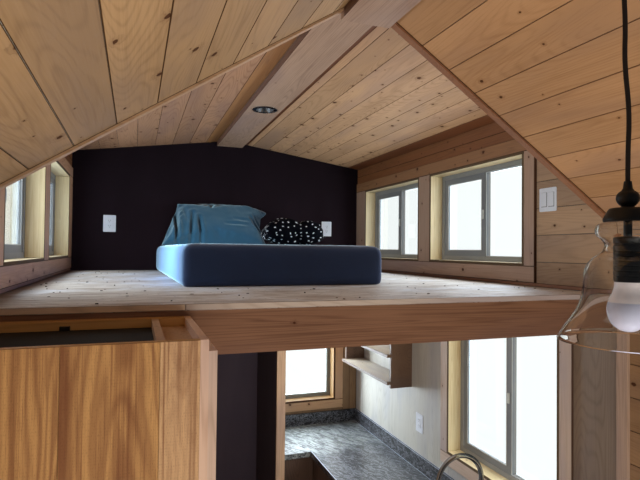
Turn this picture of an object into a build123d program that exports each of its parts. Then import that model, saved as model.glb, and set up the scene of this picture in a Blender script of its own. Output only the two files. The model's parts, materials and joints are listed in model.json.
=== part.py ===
from build123d import *
import os
from math import acos, atan, cos, pi, radians, sin, tan

# End bay of a tiny house: a sleeping loft with low dormer windows, the kitchen corner below it
# and the steep-roofed room in front of it, which is cut open towards the viewer.
# X runs across the house, Y from the open front into the loft, Z up. The origin is on the
# underside of the floor, midway between the side walls, below the front edge of the loft deck.

os.makedirs("parts", exist_ok=True)

# House shell
inside_width = 2330
wall_thickness = 130
room_length = 1250
loft_length = 2609
floor_thickness = 150
deck_height = 2240
roof_thickness = 150
eave_overhang = 25
cheek_thickness = 110

# Ceilings: ridge height over the loft deck, and fall for each unit across
steep_apex = 1040
steep_slope = 0.655
steep_ridge_x = 20
dormer_apex = 1059
dormer_slope = 0.142

# Ridge boxing and the trim on the edge of the steep ceiling
ridge_box_width = 204
ridge_box_x = 12
ridge_box_drop = 51
ridge_board_width = 182
ridge_board_x = 30
ridge_board_edge = 23
edge_trim_width = 30
edge_trim_drop = 13
downlight_setback = 1395
downlight_radius = 74
downlight_bore = 58
downlight_depth = 38
downlight_lip = 4
downlight_neck = 42
downlight_metal = 3

# Loft floor
ply = 19
lumber_thickness = 38
lumber_depth = 140
joist_spacing = 406
nosing = 6

# Loft windows, two alike in each side wall, set out from the end wall
loft_window_width = 890
loft_window_height = 585
loft_window_sill = 100
loft_window_end_gap = 185
loft_mullion = 140

# Kitchen windows: a slider in the right wall and a fixed light in the end wall
tall_window_width = 905
tall_window_start = 270
tall_window_sill = 1150
tall_window_head = 21
end_window_width = 539
end_window_gap = 10
end_window_sill = 1114
end_window_head = 31

# Window frames
frame_face = 42
frame_depth = 55
sash_face = 36
sash_depth = 22
stile_width = 34
glass_thickness = 5
casing_thickness = 16
casing_width = 75
sill_casing = 81
liner_thickness = 14
outside_casing_width = 90
outside_casing_thickness = 18

# Kitchen
counter_height = 915
counter_thickness = 38
counter_depth = 618
end_counter_depth = 575
counter_start = -36
counter_overhang = 25
backsplash_height = 100
board = 19
toe_kick = 90
toe_recess = 60
cabinet_panel = 18
sink_length = 560
sink_width = 380
sink_front = 45
sink_play = 1
sink_depth = 180
sink_wall = 3
sink_rim = 22
sink_corner = 60
faucet_height = 415
faucet_reach = 270
faucet_tube = 13
faucet_setback = 75
faucet_drop = 50
faucet_foot_radius = 26
faucet_foot_height = 10
faucet_body_radius = 17
faucet_body_height = 70
lever_radius = 8
lever_length = 75
lever_height = 45
shelf_depth = 200
shelf_panel_depth = 170
shelf_end_gap = 144
shelf_length = 830
shelf_drop = 750
upper_shelf_drop = 560
shelf_skirt = 45
panel_thickness = 6
strip_width = 48
partition_thickness = 63
partition_right = 330
partition_length = 609

# Closet in the left corner of the front room
closet_width = 619
closet_depth = 435
closet_drop = 36
closet_rail_depth = 45
closet_rail_height = 28
closet_bay = 75
closet_shelf_drop = 24
strip_drop = 26

# Switch and outlet plates
plate_width = 89
plate_height = 127
double_plate_width = 108
double_plate_height = 114
plate_thickness = 6
plate_corner = 6
plate_rise = 355
left_plate_inset = 274
right_plate_inset = 301
switch_rise = 424
switch_gap = 24
outlet_rise = 310
outlet_gap = 275

# Bedding
mattress_width = 965
mattress_length = 1905
mattress_height = 195
mattress_left = -522
mattress_corner = 55
pillow_width = 740
pillow_height = 450
pillow_thickness = 110
pillow_lean = 36
pillow_taper = 30
pillow_centre = -132
pillow_corner = 70
bed_gap = 8
cushion_width = 393
cushion_length = 290
cushion_height = 170
cushion_corner = 60
cushion_inset = 20
cushion_start = 1360

# Pendant lamp, hung under the steep ridge. Heights are over the loft deck.
pendant_setback = 217
cap_bottom = 217
cap_height = 21
cap_radius = 34
cap_crown = 24
ball_radius = 15
ball_neck = 8
ball_height = 23
stem_radius = 5
stem_foot = 7
stem_height = 18
holder_radius = 6
holder_length = 22
socket_radius = 20
socket_length = 70
bulb_radius = 29
bulb_neck = 19
bulb_length = 76
bulb_half_height = 34
bulb_facets = 8
shade_wall = 3
shade_bead = [(31, 0), (42, 5), (45, 14), (40, 24), (31, 34), (34, 45)]
shade_bell = [(47, 54), (56, 64), (61, 80), (63, 108), (71, 135), (84, 156), (99, 182)]
cord_diameter = 7
cord_stub = 40
cord_bends = [(0, 868), (-6, 790), (-7, 700), (-11, 610), (-4, 522), (-7, 462), (4, 385)]
canopy_radius = 60
canopy_height = 25
canopy_edge = 8

# Places that follow from these sizes
half_in = inside_width / 2
half_out = half_in + wall_thickness
eave = half_out + eave_overhang
deck_top = floor_thickness + deck_height
deck_bottom = deck_top - ply
joist_bottom = deck_bottom - lumber_depth
end_inside = loft_length
end_outside = loft_length + wall_thickness
ridge_top = deck_top + steep_apex + roof_thickness / cos(atan(steep_slope))
counter_top = floor_thickness + counter_height
counter_bottom = counter_top - counter_thickness
counter_edge = half_in - counter_depth
end_counter_edge = end_inside - end_counter_depth
tall_window_height = joist_bottom - tall_window_head - floor_thickness - tall_window_sill
end_window_height = joist_bottom - end_window_head - floor_thickness - end_window_sill
loft_window_start = end_inside - loft_window_end_gap - 2 * loft_window_width - loft_mullion
shelf_start = end_inside - shelf_end_gap - shelf_length
pendant_y = pendant_setback - room_length
fit = 0.3


def facing(y):
    """Upright plane at this depth, seen from the open front: its X and Y are the house's X and Z."""
    return Plane.XZ.offset(-y)


def steep(x):
    return deck_top + steep_apex - steep_slope * abs(x - steep_ridge_x)


def steep_roof(x):
    return ridge_top - steep_slope * abs(x)


def dormer(x):
    return deck_top + dormer_apex - dormer_slope * abs(x)


def dormer_roof(x):
    return ridge_top - dormer_slope * abs(x)


def finish(part, name):
    part.label = name
    export_step(part, f"parts/{name}.step")
    return part


# Floor
with BuildPart() as floor_platform:
    with Locations((0, -room_length, 0)):
        Box(
            2 * half_out,
            end_outside + room_length,
            floor_thickness,
            align=(Align.CENTER, Align.MIN, Align.MIN),
        )
finish(floor_platform.part, "floor_platform")

# Side walls: low under the steep roof, tall along the loft, with their window openings
loft_window_centres = [
    (
        loft_window_start + loft_window_width / 2 + k * (loft_window_width + loft_mullion),
        deck_top + loft_window_sill + loft_window_height / 2,
    )
    for k in range(2)
]
tall_window_centre = (
    tall_window_start + tall_window_width / 2,
    floor_thickness + tall_window_sill + tall_window_height / 2,
)
end_window_centre = (
    partition_right + end_window_gap + casing_width + end_window_width / 2,
    floor_thickness + end_window_sill + end_window_height / 2,
)


def side_wall(side, low_windows):
    """Wall on the right (side 1) or the left (side -1)."""
    inner, outer = side * half_in, side * half_out
    with BuildPart() as wall:
        with BuildSketch(facing(0)):
            with BuildLine():
                Polyline(
                    (inner, floor_thickness),
                    (outer, floor_thickness),
                    (outer, steep(outer)),
                    (inner, steep(inner)),
                    close=True,
                )
            make_face()
        extrude(amount=room_length)
        with BuildSketch(facing(end_inside)):
            with BuildLine():
                Polyline(
                    (inner, floor_thickness),
                    (outer, floor_thickness),
                    (outer, dormer(outer)),
                    (inner, dormer(inner)),
                    close=True,
                )
            make_face()
        extrude(amount=end_inside)
        with BuildSketch(Plane.YZ.offset(inner)):
            with Locations(*loft_window_centres):
                Rectangle(loft_window_width, loft_window_height)
            if low_windows:
                with Locations(*low_windows):
                    Rectangle(tall_window_width, tall_window_height)
        extrude(amount=side * wall_thickness, mode=Mode.SUBTRACT)
    return wall.part


def mirrored(part):
    """The same piece on the left side of the house."""
    with BuildPart() as other:
        mirror(part, about=Plane.YZ)
    return other.part


finish(side_wall(1, [tall_window_centre]), "right_wall")
finish(side_wall(-1, []), "left_wall")

# End wall, whose top follows the dormer ceiling
with BuildPart() as end_wall:
    with BuildSketch(facing(end_outside)):
        with BuildLine():
            Polyline(
                (-half_out, floor_thickness),
                (half_out, floor_thickness),
                (half_out, dormer(half_out)),
                (0, dormer(0)),
                (-half_out, dormer(half_out)),
                close=True,
            )
        make_face()
        with Locations(end_window_centre):
            Rectangle(end_window_width, end_window_height, mode=Mode.SUBTRACT)
    extrude(amount=wall_thickness)
finish(end_wall.part, "end_wall")

# Roof slopes. The steep ceiling's ridge is a little to the right of the roof's.
def main_roof(side):
    edge = side * eave
    with BuildPart() as slab:
        with BuildSketch(facing(0)):
            with BuildLine():
                Polyline(
                    (steep_ridge_x, steep(steep_ridge_x)),
                    (edge, steep(edge)),
                    (edge, steep_roof(edge)),
                    (0, ridge_top),
                    close=True,
                )
            make_face()
        extrude(amount=room_length)
    return slab.part


finish(main_roof(1), "main_roof_right")
finish(main_roof(-1), "main_roof_left")

with BuildPart() as dormer_roof_right:
    with BuildSketch(facing(end_outside + eave_overhang)):
        with BuildLine():
            Polyline(
                (0, dormer(0)),
                (eave, dormer(eave)),
                (eave, dormer_roof(eave)),
                (0, ridge_top),
                close=True,
            )
        make_face()
    extrude(amount=end_outside + eave_overhang)
finish(dormer_roof_right.part, "dormer_roof_right")
finish(mirrored(dormer_roof_right.part), "dormer_roof_left")

# Dormer cheeks: the upright triangles that close the dormers above the steep roof
with BuildPart() as cheek:
    with BuildSketch(facing(0)):
        with BuildLine():
            Polyline(
                (0, ridge_top),
                (half_out, dormer_roof(half_out)),
                (half_out, steep_roof(half_out)),
                close=True,
            )
        make_face()
    extrude(amount=cheek_thickness)
finish(cheek.part, "dormer_cheek_right")
finish(mirrored(cheek.part), "dormer_cheek_left")

# Ridge boxing over the loft, and the flat board that closes the steep ridge
box_left = ridge_box_x - ridge_box_width / 2
box_right = ridge_box_x + ridge_box_width / 2
ridge_box_bottom = dormer(0) - ridge_box_drop
with BuildPart() as ridge_box:
    with BuildSketch(facing(end_inside)):
        with BuildLine():
            Polyline(
                (box_left, ridge_box_bottom),
                (box_right, ridge_box_bottom),
                (box_right, dormer(box_right)),
                (0, dormer(0)),
                (box_left, dormer(box_left)),
                close=True,
            )
        make_face()
    extrude(amount=end_inside)
    with Locations(Plane(origin=(ridge_box_x, downlight_setback, ridge_box_bottom), z_dir=(0, 0, -1))):
        Hole(downlight_bore, downlight_depth)
finish(ridge_box.part, "ridge_box")

board_left = ridge_board_x - ridge_board_width / 2
board_right = ridge_board_x + ridge_board_width / 2
ridge_board_bottom = steep(board_right) - ridge_board_edge
with BuildPart() as ridge_board:
    with BuildSketch(facing(0)):
        with BuildLine():
            Polyline(
                (board_left, ridge_board_bottom),
                (board_right, ridge_board_bottom),
                (board_right, steep(board_right)),
                (steep_ridge_x, steep(steep_ridge_x)),
                (board_left, steep(board_left)),
                close=True,
            )
        make_face()
    extrude(amount=room_length)
finish(ridge_board.part, "ridge_board")

# Downlight: a flared trim ring with its reflector up inside the boxing
with BuildPart() as downlight:
    with BuildSketch(Plane.XZ):
        with BuildLine():
            Polyline(
                (downlight_radius, 0),
                (downlight_radius, -downlight_lip),
                (downlight_bore - 2 * downlight_metal, -downlight_lip),
                (downlight_neck, downlight_depth - 2 * downlight_metal),
                (0, downlight_depth - 2 * downlight_metal),
                (0, downlight_depth - downlight_metal),
                (downlight_neck + downlight_metal, downlight_depth - downlight_metal),
                (downlight_bore - downlight_metal, 0),
                close=True,
            )
        make_face()
    revolve(axis=Axis.Z)
finish(downlight.part.moved(Location((ridge_box_x, downlight_setback, ridge_box_bottom))), "downlight")

# Trim on the edge of the steep ceiling, where the room opens into the loft
def edge_trim(top, wall):
    """Strip from the ridge board's edge down to the wall."""
    with BuildPart() as trim:
        with BuildSketch(facing(0)):
            with BuildLine():
                Polyline(
                    (top, steep(top)),
                    (wall, steep(wall)),
                    (wall, steep(wall) - edge_trim_drop),
                    (top, steep(top) - edge_trim_drop),
                    close=True,
                )
            make_face()
        extrude(amount=edge_trim_width)
    return trim.part


finish(edge_trim(board_right, half_in), "ceiling_trim_right")
finish(edge_trim(board_left, -half_in), "ceiling_trim_left")

# Loft deck, front beam, ledgers and joists
beam_back = nosing + lumber_thickness
with BuildPart() as loft_deck:
    with Locations((0, 0, deck_bottom)):
        Box(inside_width, end_inside, ply, align=(Align.CENTER, Align.MIN, Align.MIN))
finish(loft_deck.part, "loft_deck")

with BuildPart() as loft_beam:
    with Locations((0, nosing, joist_bottom)):
        Box(inside_width, lumber_thickness, lumber_depth, align=(Align.CENTER, Align.MIN, Align.MIN))
finish(loft_beam.part, "loft_beam")

ledger_x = half_in - lumber_thickness
with BuildPart() as loft_ledgers:
    with Locations((ledger_x, beam_back, joist_bottom), (-half_in, beam_back, joist_bottom)):
        Box(lumber_thickness, end_inside - beam_back, lumber_depth, align=(Align.MIN, Align.MIN, Align.MIN))
finish(loft_ledgers.part, "loft_ledgers")

joist_count = int((end_inside - beam_back - lumber_thickness) / joist_spacing)
with BuildPart() as loft_joists:
    with Locations((0, end_inside - lumber_thickness, joist_bottom)):
        Box(2 * ledger_x, lumber_thickness, lumber_depth, align=(Align.CENTER, Align.MIN, Align.MIN))
    for k in range(1, joist_count + 1):
        with Locations((0, end_inside - lumber_thickness - k * joist_spacing, joist_bottom)):
            Box(2 * ledger_x, lumber_thickness, lumber_depth, align=(Align.CENTER, Align.MIN, Align.MIN))
finish(loft_joists.part, "loft_joists")


# Sliding windows. A window is drawn on the outer face of its wall, looking in from outside.
def ring(plane, width, height, face, depth):
    """Four-sided frame of this face width, running inwards from the plane."""
    with BuildPart() as frame:
        with BuildSketch(plane):
            Rectangle(width, height)
            Rectangle(width - 2 * face, height - 2 * face, mode=Mode.SUBTRACT)
        extrude(amount=-depth)
    return frame.part


def joined(*pieces):
    """One part that holds these pieces."""
    with BuildPart() as whole:
        add(pieces)
    return whole.part


def right_plane(centre):
    return Plane(origin=(half_out, *centre), x_dir=(0, 1, 0), z_dir=(1, 0, 0))


def end_plane(centre):
    return Plane(origin=(centre[0], end_outside, centre[1]), x_dir=(-1, 0, 0), z_dir=(0, 1, 0))


def slider_frame(plane, width, height):
    """Outer frame with the stile that carries the fixed pane's inner edge."""
    outer = ring(plane, width, height, frame_face, frame_depth)
    with BuildPart() as frame:
        add(outer)
        with BuildSketch(plane.offset(-sash_depth / 2)):
            Rectangle(stile_width, height - 2 * frame_face)
        extrude(amount=-(frame_depth - sash_depth) / 2)
    return frame.part


def sash_size(width, height):
    return (width - 2 * frame_face + stile_width) / 2, height - 2 * frame_face


def slider_sash(plane, width, height):
    """The sash on the inner track, on the far half of the window."""
    sash_width, sash_height = sash_size(width, height)
    middle = (width / 2 - frame_face) - sash_width / 2
    sash_plane = plane.shift_origin(plane.origin + plane.x_dir * middle).offset(-frame_depth / 2)
    return ring(sash_plane, sash_width, sash_height, sash_face, sash_depth)


def pane(plane, across, width, height, depth):
    """A sheet of glass, this far across the window and this far in from its outer face."""
    glass_plane = plane.shift_origin(plane.origin + plane.x_dir * across).offset(-depth)
    with BuildPart() as sheet:
        with BuildSketch(glass_plane):
            Rectangle(width, height)
        extrude(amount=-glass_thickness)
    return sheet.part


def slider_glass(plane, width, height):
    sash_width, sash_height = sash_size(width, height)
    fixed_width = (width - 2 * frame_face - stile_width) / 2
    fixed = pane(plane, -(fixed_width + stile_width) / 2, fixed_width, sash_height, sash_depth / 2)
    middle = (width / 2 - frame_face) - sash_width / 2
    light_width, light_height = sash_width - 2 * sash_face, sash_height - 2 * sash_face
    moving_depth = (frame_depth + sash_depth - glass_thickness) / 2
    moving = pane(plane, middle, light_width, light_height, moving_depth)
    return joined(fixed, moving)


loft_planes = [right_plane(centre) for centre in loft_window_centres]
tall_plane = right_plane(tall_window_centre)

loft_size = (loft_window_width, loft_window_height)
tall_size = (tall_window_width, tall_window_height)
end_size = (end_window_width, end_window_height)

loft_frames = [slider_frame(plane, *loft_size) for plane in loft_planes]
loft_sashes = [slider_sash(plane, *loft_size) for plane in loft_planes]
loft_glass = [slider_glass(plane, *loft_size) for plane in loft_planes]
finish(joined(*loft_frames, slider_frame(tall_plane, *tall_size)), "right_window_frames")
finish(joined(*loft_sashes, slider_sash(tall_plane, *tall_size)), "right_window_sashes")
finish(joined(*loft_glass, slider_glass(tall_plane, *tall_size)), "right_window_glass")
finish(mirrored(joined(*loft_frames)), "left_window_frames")
finish(mirrored(joined(*loft_sashes)), "left_window_sashes")
finish(mirrored(joined(*loft_glass)), "left_window_glass")

end_window_plane = end_plane(end_window_centre)
end_light = (end_window_width - 2 * frame_face, end_window_height - 2 * frame_face)
finish(ring(end_window_plane, *end_size, frame_face, frame_depth), "end_window_frame")
finish(pane(end_window_plane, 0, *end_light, (frame_depth - glass_thickness) / 2), "end_window_glass")


# Window casings: flat boards round the openings with deep liners back to the frames
liner_depth = wall_thickness - frame_depth


def liner(plane, width, height):
    return ring(plane.offset(-frame_depth), width, height, liner_thickness, liner_depth)


def casing_board(plane, width, height, openings, opening_size):
    """Flat casing on the inner face of the wall, open inside the liners."""
    with BuildPart() as boards:
        with BuildSketch(plane.offset(-wall_thickness)):
            Rectangle(width, height)
            with Locations(*openings):
                Rectangle(*[side - 2 * liner_thickness for side in opening_size], mode=Mode.SUBTRACT)
        extrude(amount=-casing_thickness)
    return boards.part


loft_casing_low = -sill_casing
loft_casing_high = loft_window_height + casing_width
loft_casing_start = loft_window_start - casing_width
loft_casing_length = end_inside - loft_casing_start
loft_casing_height = loft_casing_high - loft_casing_low
loft_casing_centre = (
    loft_casing_start + loft_casing_length / 2,
    deck_top + loft_window_sill + (loft_casing_high + loft_casing_low) / 2,
)
loft_openings = [(y - loft_casing_centre[0], z - loft_casing_centre[1]) for y, z in loft_window_centres]
loft_boards = casing_board(
    right_plane(loft_casing_centre), loft_casing_length, loft_casing_height, loft_openings, loft_size
)
loft_casing = joined(loft_boards, *[liner(plane, *loft_size) for plane in loft_planes])
finish(loft_casing, "right_loft_casing")
finish(mirrored(loft_casing), "left_loft_casing")


def kitchen_casing(plane, width, height, top):
    """Casing of a kitchen window, cut off level with the underside of the loft joists."""
    boards = casing_board(
        plane, width + 2 * casing_width, height + 2 * casing_width, [(0, 0)], (width, height)
    )
    whole = joined(boards, liner(plane, width, height))
    return split(whole, Plane.XY.offset(top), keep=Keep.BOTTOM)


finish(kitchen_casing(tall_plane, *tall_size, joist_bottom), "tall_window_casing")
finish(kitchen_casing(end_window_plane, *end_size, joist_bottom), "end_window_casing")


def outside_boards(plane, width, height):
    outer = plane.offset(outside_casing_thickness)
    face = outside_casing_width
    return ring(outer, width + 2 * face, height + 2 * face, face, outside_casing_thickness)


outside_loft = [outside_boards(plane, *loft_size) for plane in loft_planes]
finish(mirrored(joined(*outside_loft)), "outside_casing_left")
finish(joined(*outside_loft, outside_boards(tall_plane, *tall_size)), "outside_casing_right")
finish(outside_boards(end_window_plane, *end_size), "outside_casing_end")

# Plywood panel on the right wall, from the counter's start to the tall window's casing, with a
# strip on its near edge
panel_width = tall_window_start - casing_width - counter_start
with BuildPart() as wall_panel:
    with Locations((half_in, counter_start, counter_top)):
        Box(
            panel_thickness,
            panel_width,
            joist_bottom - counter_top,
            align=(Align.MAX, Align.MIN, Align.MIN),
        )
finish(wall_panel.part, "wall_panel")
with BuildPart() as wall_strip:
    with Locations((half_in, counter_start, floor_thickness)):
        Box(board, strip_width, deck_top - floor_thickness, align=(Align.MAX, Align.MAX, Align.MIN))
finish(wall_strip.part, "wall_strip")

# Partition at the left end of the kitchen, with a pine post on its free edge
partition_start = end_inside - partition_length
with BuildPart() as partition:
    with Locations((partition_right, end_inside, floor_thickness)):
        Box(
            partition_thickness,
            partition_length,
            joist_bottom - floor_thickness,
            align=(Align.MAX, Align.MAX, Align.MIN),
        )
finish(partition.part, "partition")
with BuildPart() as partition_post:
    with Locations((partition_right, partition_start, floor_thickness)):
        Box(
            partition_thickness,
            board,
            joist_bottom - floor_thickness,
            align=(Align.MAX, Align.MAX, Align.MIN),
        )
finish(partition_post.part, "partition_post")

# Kitchen counter: an L along the right wall and the end wall, with a sink cut-out
sink_centre = (counter_edge + sink_front + sink_width / 2, tall_window_centre[0])


def kitchen_plan(setback):
    """Plan of the counter with its open edges moved back by this much."""
    with BuildSketch() as plan:
        with BuildLine():
            Polyline(
                (counter_edge + setback, counter_start),
                (half_in, counter_start),
                (half_in, end_inside),
                (partition_right, end_inside),
                (partition_right, end_counter_edge + setback),
                (counter_edge + setback, end_counter_edge + setback),
                close=True,
            )
        make_face()
    return plan.sketch


with BuildPart() as countertop:
    with BuildSketch(Plane.XY.offset(counter_bottom)):
        add(kitchen_plan(0))
        with Locations(sink_centre):
            RectangleRounded(sink_width, sink_length, sink_corner, mode=Mode.SUBTRACT)
    extrude(amount=counter_thickness)
finish(countertop.part, "countertop")

with BuildPart() as backsplash:
    with BuildSketch(Plane.XY.offset(counter_top)):
        with BuildLine():
            Polyline(
                (half_in - panel_thickness, counter_start + panel_width),
                (half_in - panel_thickness - board, counter_start + panel_width),
                (half_in - panel_thickness - board, end_inside - board),
                (partition_right, end_inside - board),
                (partition_right, end_inside),
                (half_in - panel_thickness, end_inside),
                close=True,
            )
        make_face()
    extrude(amount=backsplash_height)
finish(backsplash.part, "backsplash")

# Base cabinets: panels round an open inside, over a recessed toe kick
with BuildPart() as base_cabinets:
    with BuildSketch(Plane.XY.offset(floor_thickness + toe_kick)):
        add(kitchen_plan(counter_overhang))
    extrude(amount=counter_bottom - floor_thickness - toe_kick)
    with BuildSketch(Plane.XY.offset(floor_thickness)):
        add(kitchen_plan(counter_overhang + toe_recess))
    extrude(amount=toe_kick)
    inner_edge = counter_edge + counter_overhang + cabinet_panel
    inner_back = end_counter_edge + counter_overhang + cabinet_panel
    with BuildSketch(Plane.XY.offset(counter_bottom)):
        with BuildLine():
            Polyline(
                (inner_edge, counter_start + cabinet_panel),
                (half_in - cabinet_panel, counter_start + cabinet_panel),
                (half_in - cabinet_panel, end_inside - cabinet_panel),
                (partition_right + cabinet_panel, end_inside - cabinet_panel),
                (partition_right + cabinet_panel, inner_back),
                (inner_edge, inner_back),
                close=True,
            )
        make_face()
    extrude(amount=-(counter_bottom - floor_thickness - toe_kick - cabinet_panel), mode=Mode.SUBTRACT)
finish(base_cabinets.part, "base_cabinets")

# Sink: a pressed bowl hung by its rim, with a drain hole
sink_bowl = (sink_width - 2 * sink_play, sink_length - 2 * sink_play)
with BuildPart() as sink:
    with BuildSketch(Plane.XY.offset(counter_top)):
        with Locations(sink_centre):
            RectangleRounded(sink_width + 2 * sink_rim, sink_length + 2 * sink_rim, sink_corner)
    extrude(amount=sink_wall)
    with BuildSketch(Plane.XY.offset(counter_top)):
        with Locations(sink_centre):
            RectangleRounded(*sink_bowl, sink_corner)
    extrude(amount=-sink_depth)
    with BuildSketch(Plane.XY.offset(counter_top + sink_wall)):
        with Locations(sink_centre):
            RectangleRounded(*[side - 2 * sink_wall for side in sink_bowl], sink_corner - sink_wall)
    extrude(amount=-sink_depth, mode=Mode.SUBTRACT)
finish(sink.part, "sink")

# Faucet: a base, a tall gooseneck and a side lever
faucet_x = half_in - panel_thickness - board - faucet_setback
spout_x = faucet_x - faucet_reach
faucet_y = sink_centre[1]
crook_foot = counter_top + faucet_height - faucet_reach / 2
upright = (Align.CENTER, Align.CENTER, Align.MIN)
with BuildPart() as faucet:
    with Locations((faucet_x, faucet_y, counter_top)):
        Cylinder(faucet_foot_radius, faucet_foot_height, align=upright)
        Cylinder(faucet_body_radius, faucet_body_height, align=upright)
    with BuildLine():
        riser = Line(
            (faucet_x, faucet_y, counter_top + faucet_foot_height),
            (faucet_x, faucet_y, crook_foot),
        )
        crook = ThreePointArc(
            riser @ 1,
            (faucet_x - faucet_reach / 2, faucet_y, counter_top + faucet_height),
            (spout_x, faucet_y, crook_foot),
        )
        Line(crook @ 1, (spout_x, faucet_y, crook_foot - faucet_drop))
    with BuildSketch(Plane(riser @ 0, z_dir=(0, 0, 1))):
        Circle(faucet_tube)
    sweep()
    with Locations(Plane(origin=(faucet_x, faucet_y, counter_top + lever_height), z_dir=(0, -1, 0))):
        Cylinder(lever_radius, lever_length, align=upright)
finish(faucet.part, "faucet")

# Open shelves on the right wall above the counter, between two end panels
lower_shelf_bottom = deck_top - shelf_drop - board
upper_shelf_bottom = deck_top - upper_shelf_drop - board
near_panel_height = joist_bottom - (deck_top - shelf_drop - shelf_skirt)
far_panel_height = joist_bottom - lower_shelf_bottom
with BuildPart() as kitchen_shelf:
    with Locations((half_in, shelf_start, joist_bottom)):
        Box(shelf_panel_depth, board, near_panel_height, align=(Align.MAX, Align.MIN, Align.MAX))
    with Locations((half_in, shelf_start + shelf_length, joist_bottom)):
        Box(shelf_panel_depth, board, far_panel_height, align=(Align.MAX, Align.MAX, Align.MAX))
    with Locations((half_in, shelf_start, lower_shelf_bottom), (half_in, shelf_start, upper_shelf_bottom)):
        Box(shelf_depth, shelf_length, board, align=(Align.MAX, Align.MIN, Align.MIN))
finish(kitchen_shelf.part, "kitchen_shelf")

# Closet against the front beam at the left wall
closet_top = deck_top - closet_drop
closet_right = closet_width - half_in
closet_inner_right = closet_right - board
closet_back = nosing
closet_front_y = closet_back - closet_depth
with BuildPart() as closet_front:
    with Locations((-half_in, closet_front_y, floor_thickness)):
        Box(
            closet_width - board,
            board,
            closet_top - floor_thickness,
            align=(Align.MIN, Align.MIN, Align.MIN),
        )
finish(closet_front.part, "closet_front")
with BuildPart() as closet_side:
    with Locations((closet_right, closet_front_y, floor_thickness)):
        Box(board, closet_depth, closet_top - floor_thickness, align=(Align.MAX, Align.MIN, Align.MIN))
finish(closet_side.part, "closet_side")
with BuildPart() as closet_strip:
    with Locations((closet_right, closet_front_y, floor_thickness)):
        Box(
            board,
            closet_depth,
            closet_top - strip_drop - floor_thickness,
            align=(Align.MIN, Align.MIN, Align.MIN),
        )
finish(closet_strip.part, "closet_strip")
closet_inside_depth = closet_depth - board
divider_right = closet_inner_right - closet_bay
shelf_top = closet_top - closet_shelf_drop
with BuildPart() as closet_rail:
    with Locations((-half_in, closet_back, closet_top)):
        Box(
            closet_width - board,
            closet_rail_depth,
            closet_rail_height,
            align=(Align.MIN, Align.MAX, Align.MAX),
        )
finish(closet_rail.part, "closet_rail")
divider_depth = closet_inside_depth - closet_rail_depth
with BuildPart() as closet_divider:
    with Locations((divider_right, closet_front_y + board, closet_top)):
        Box(board, divider_depth, closet_top - floor_thickness, align=(Align.MAX, Align.MIN, Align.MAX))
    with Locations((divider_right, closet_front_y + board, shelf_top)):
        Box(closet_bay, divider_depth, board, align=(Align.MIN, Align.MIN, Align.MAX))
finish(closet_divider.part, "closet_divider")
with BuildPart() as closet_shelf:
    with Locations((-half_in, closet_front_y + board, shelf_top)):
        Box(
            divider_right - board + half_in,
            divider_depth,
            board,
            align=(Align.MIN, Align.MIN, Align.MAX),
        )
finish(closet_shelf.part, "closet_shelf")


# Switch and outlet plates
def wall_plate(plane, width, height):
    with BuildPart() as plate:
        with BuildSketch(plane):
            RectangleRounded(width, height, plate_corner)
        extrude(amount=plate_thickness)
    return plate.part


def on_end_wall(x, z):
    return Plane(origin=(x, end_inside, z), x_dir=(1, 0, 0), z_dir=(0, -1, 0))


def on_right_wall(y, z):
    return Plane(origin=(half_in, y, z), x_dir=(0, -1, 0), z_dir=(-1, 0, 0))


switch_y = loft_casing_start - switch_gap - double_plate_width / 2
outlet_y = tall_window_start + tall_window_width + casing_width + outlet_gap
plates = joined(
    wall_plate(on_end_wall(left_plate_inset - half_in, deck_top + plate_rise), plate_width, plate_height),
    wall_plate(on_end_wall(half_in - right_plate_inset, deck_top + plate_rise), plate_width, plate_height),
    wall_plate(on_right_wall(switch_y, deck_top + switch_rise), double_plate_width, double_plate_height),
    wall_plate(on_right_wall(outlet_y, counter_top + outlet_rise), plate_width, plate_height),
)
finish(plates, "wall_plates")

# Mattress, pillow and round cushion roll
with BuildPart() as mattress:
    with Locations((mattress_left, end_inside - bed_gap, deck_top)):
        Box(mattress_width, mattress_length, mattress_height, align=(Align.MIN, Align.MAX, Align.MIN))
    chamfer(mattress.edges().filter_by(Axis.Z), mattress_corner)
    chamfer(mattress.faces().sort_by(Axis.Z)[-1].edges(), mattress_corner / 2)
finish(mattress.part, "mattress")

bed_top = deck_top + mattress_height + fit
lean = radians(pillow_lean)
pillow_shoulder = pillow_height / 2 - pillow_thickness / 2 * tan(radians(pillow_taper))
pillow_rise = pillow_shoulder * sin(lean) + pillow_thickness / 2 * cos(lean)
pillow_run = pillow_shoulder * cos(lean) + pillow_thickness / 2 * sin(lean)
pillow_plane = Plane(
    origin=(pillow_centre, end_inside - pillow_run - bed_gap, bed_top + pillow_rise),
    x_dir=(1, 0, 0),
    z_dir=(0, -sin(lean), cos(lean)),
)
with BuildPart() as pillow:
    with BuildSketch(pillow_plane):
        Rectangle(pillow_width, pillow_height)
        chamfer(vertices(), pillow_corner)
    extrude(amount=pillow_thickness / 2, both=True, taper=pillow_taper)
finish(pillow.part, "pillow")

with BuildPart() as cushion:
    with Locations((mattress_left + mattress_width - cushion_inset, cushion_start, bed_top)):
        Box(cushion_width, cushion_length, cushion_height, align=(Align.MAX, Align.MIN, Align.MIN))
    chamfer(cushion.edges(), cushion_corner)
finish(cushion.part, "dotted_cushion")

# Pendant lamp under the steep ridge
def turned(outline):
    """Solid turned round the lamp's axis from half of its outline."""
    with BuildPart() as turning:
        with BuildSketch(Plane.XZ):
            with BuildLine():
                Polyline(*outline, close=True)
            make_face()
        revolve(axis=Axis.Z)
    return turning.part.moved(Location((0, pendant_y, 0)))


canopy_bottom = ridge_board_bottom - canopy_height
canopy_outline = [
    (0, ridge_board_bottom),
    (canopy_radius, ridge_board_bottom),
    (canopy_radius, canopy_bottom + canopy_edge),
    (canopy_radius - canopy_edge, canopy_bottom),
    (0, canopy_bottom),
]
finish(turned(canopy_outline), "pendant_canopy")

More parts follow.
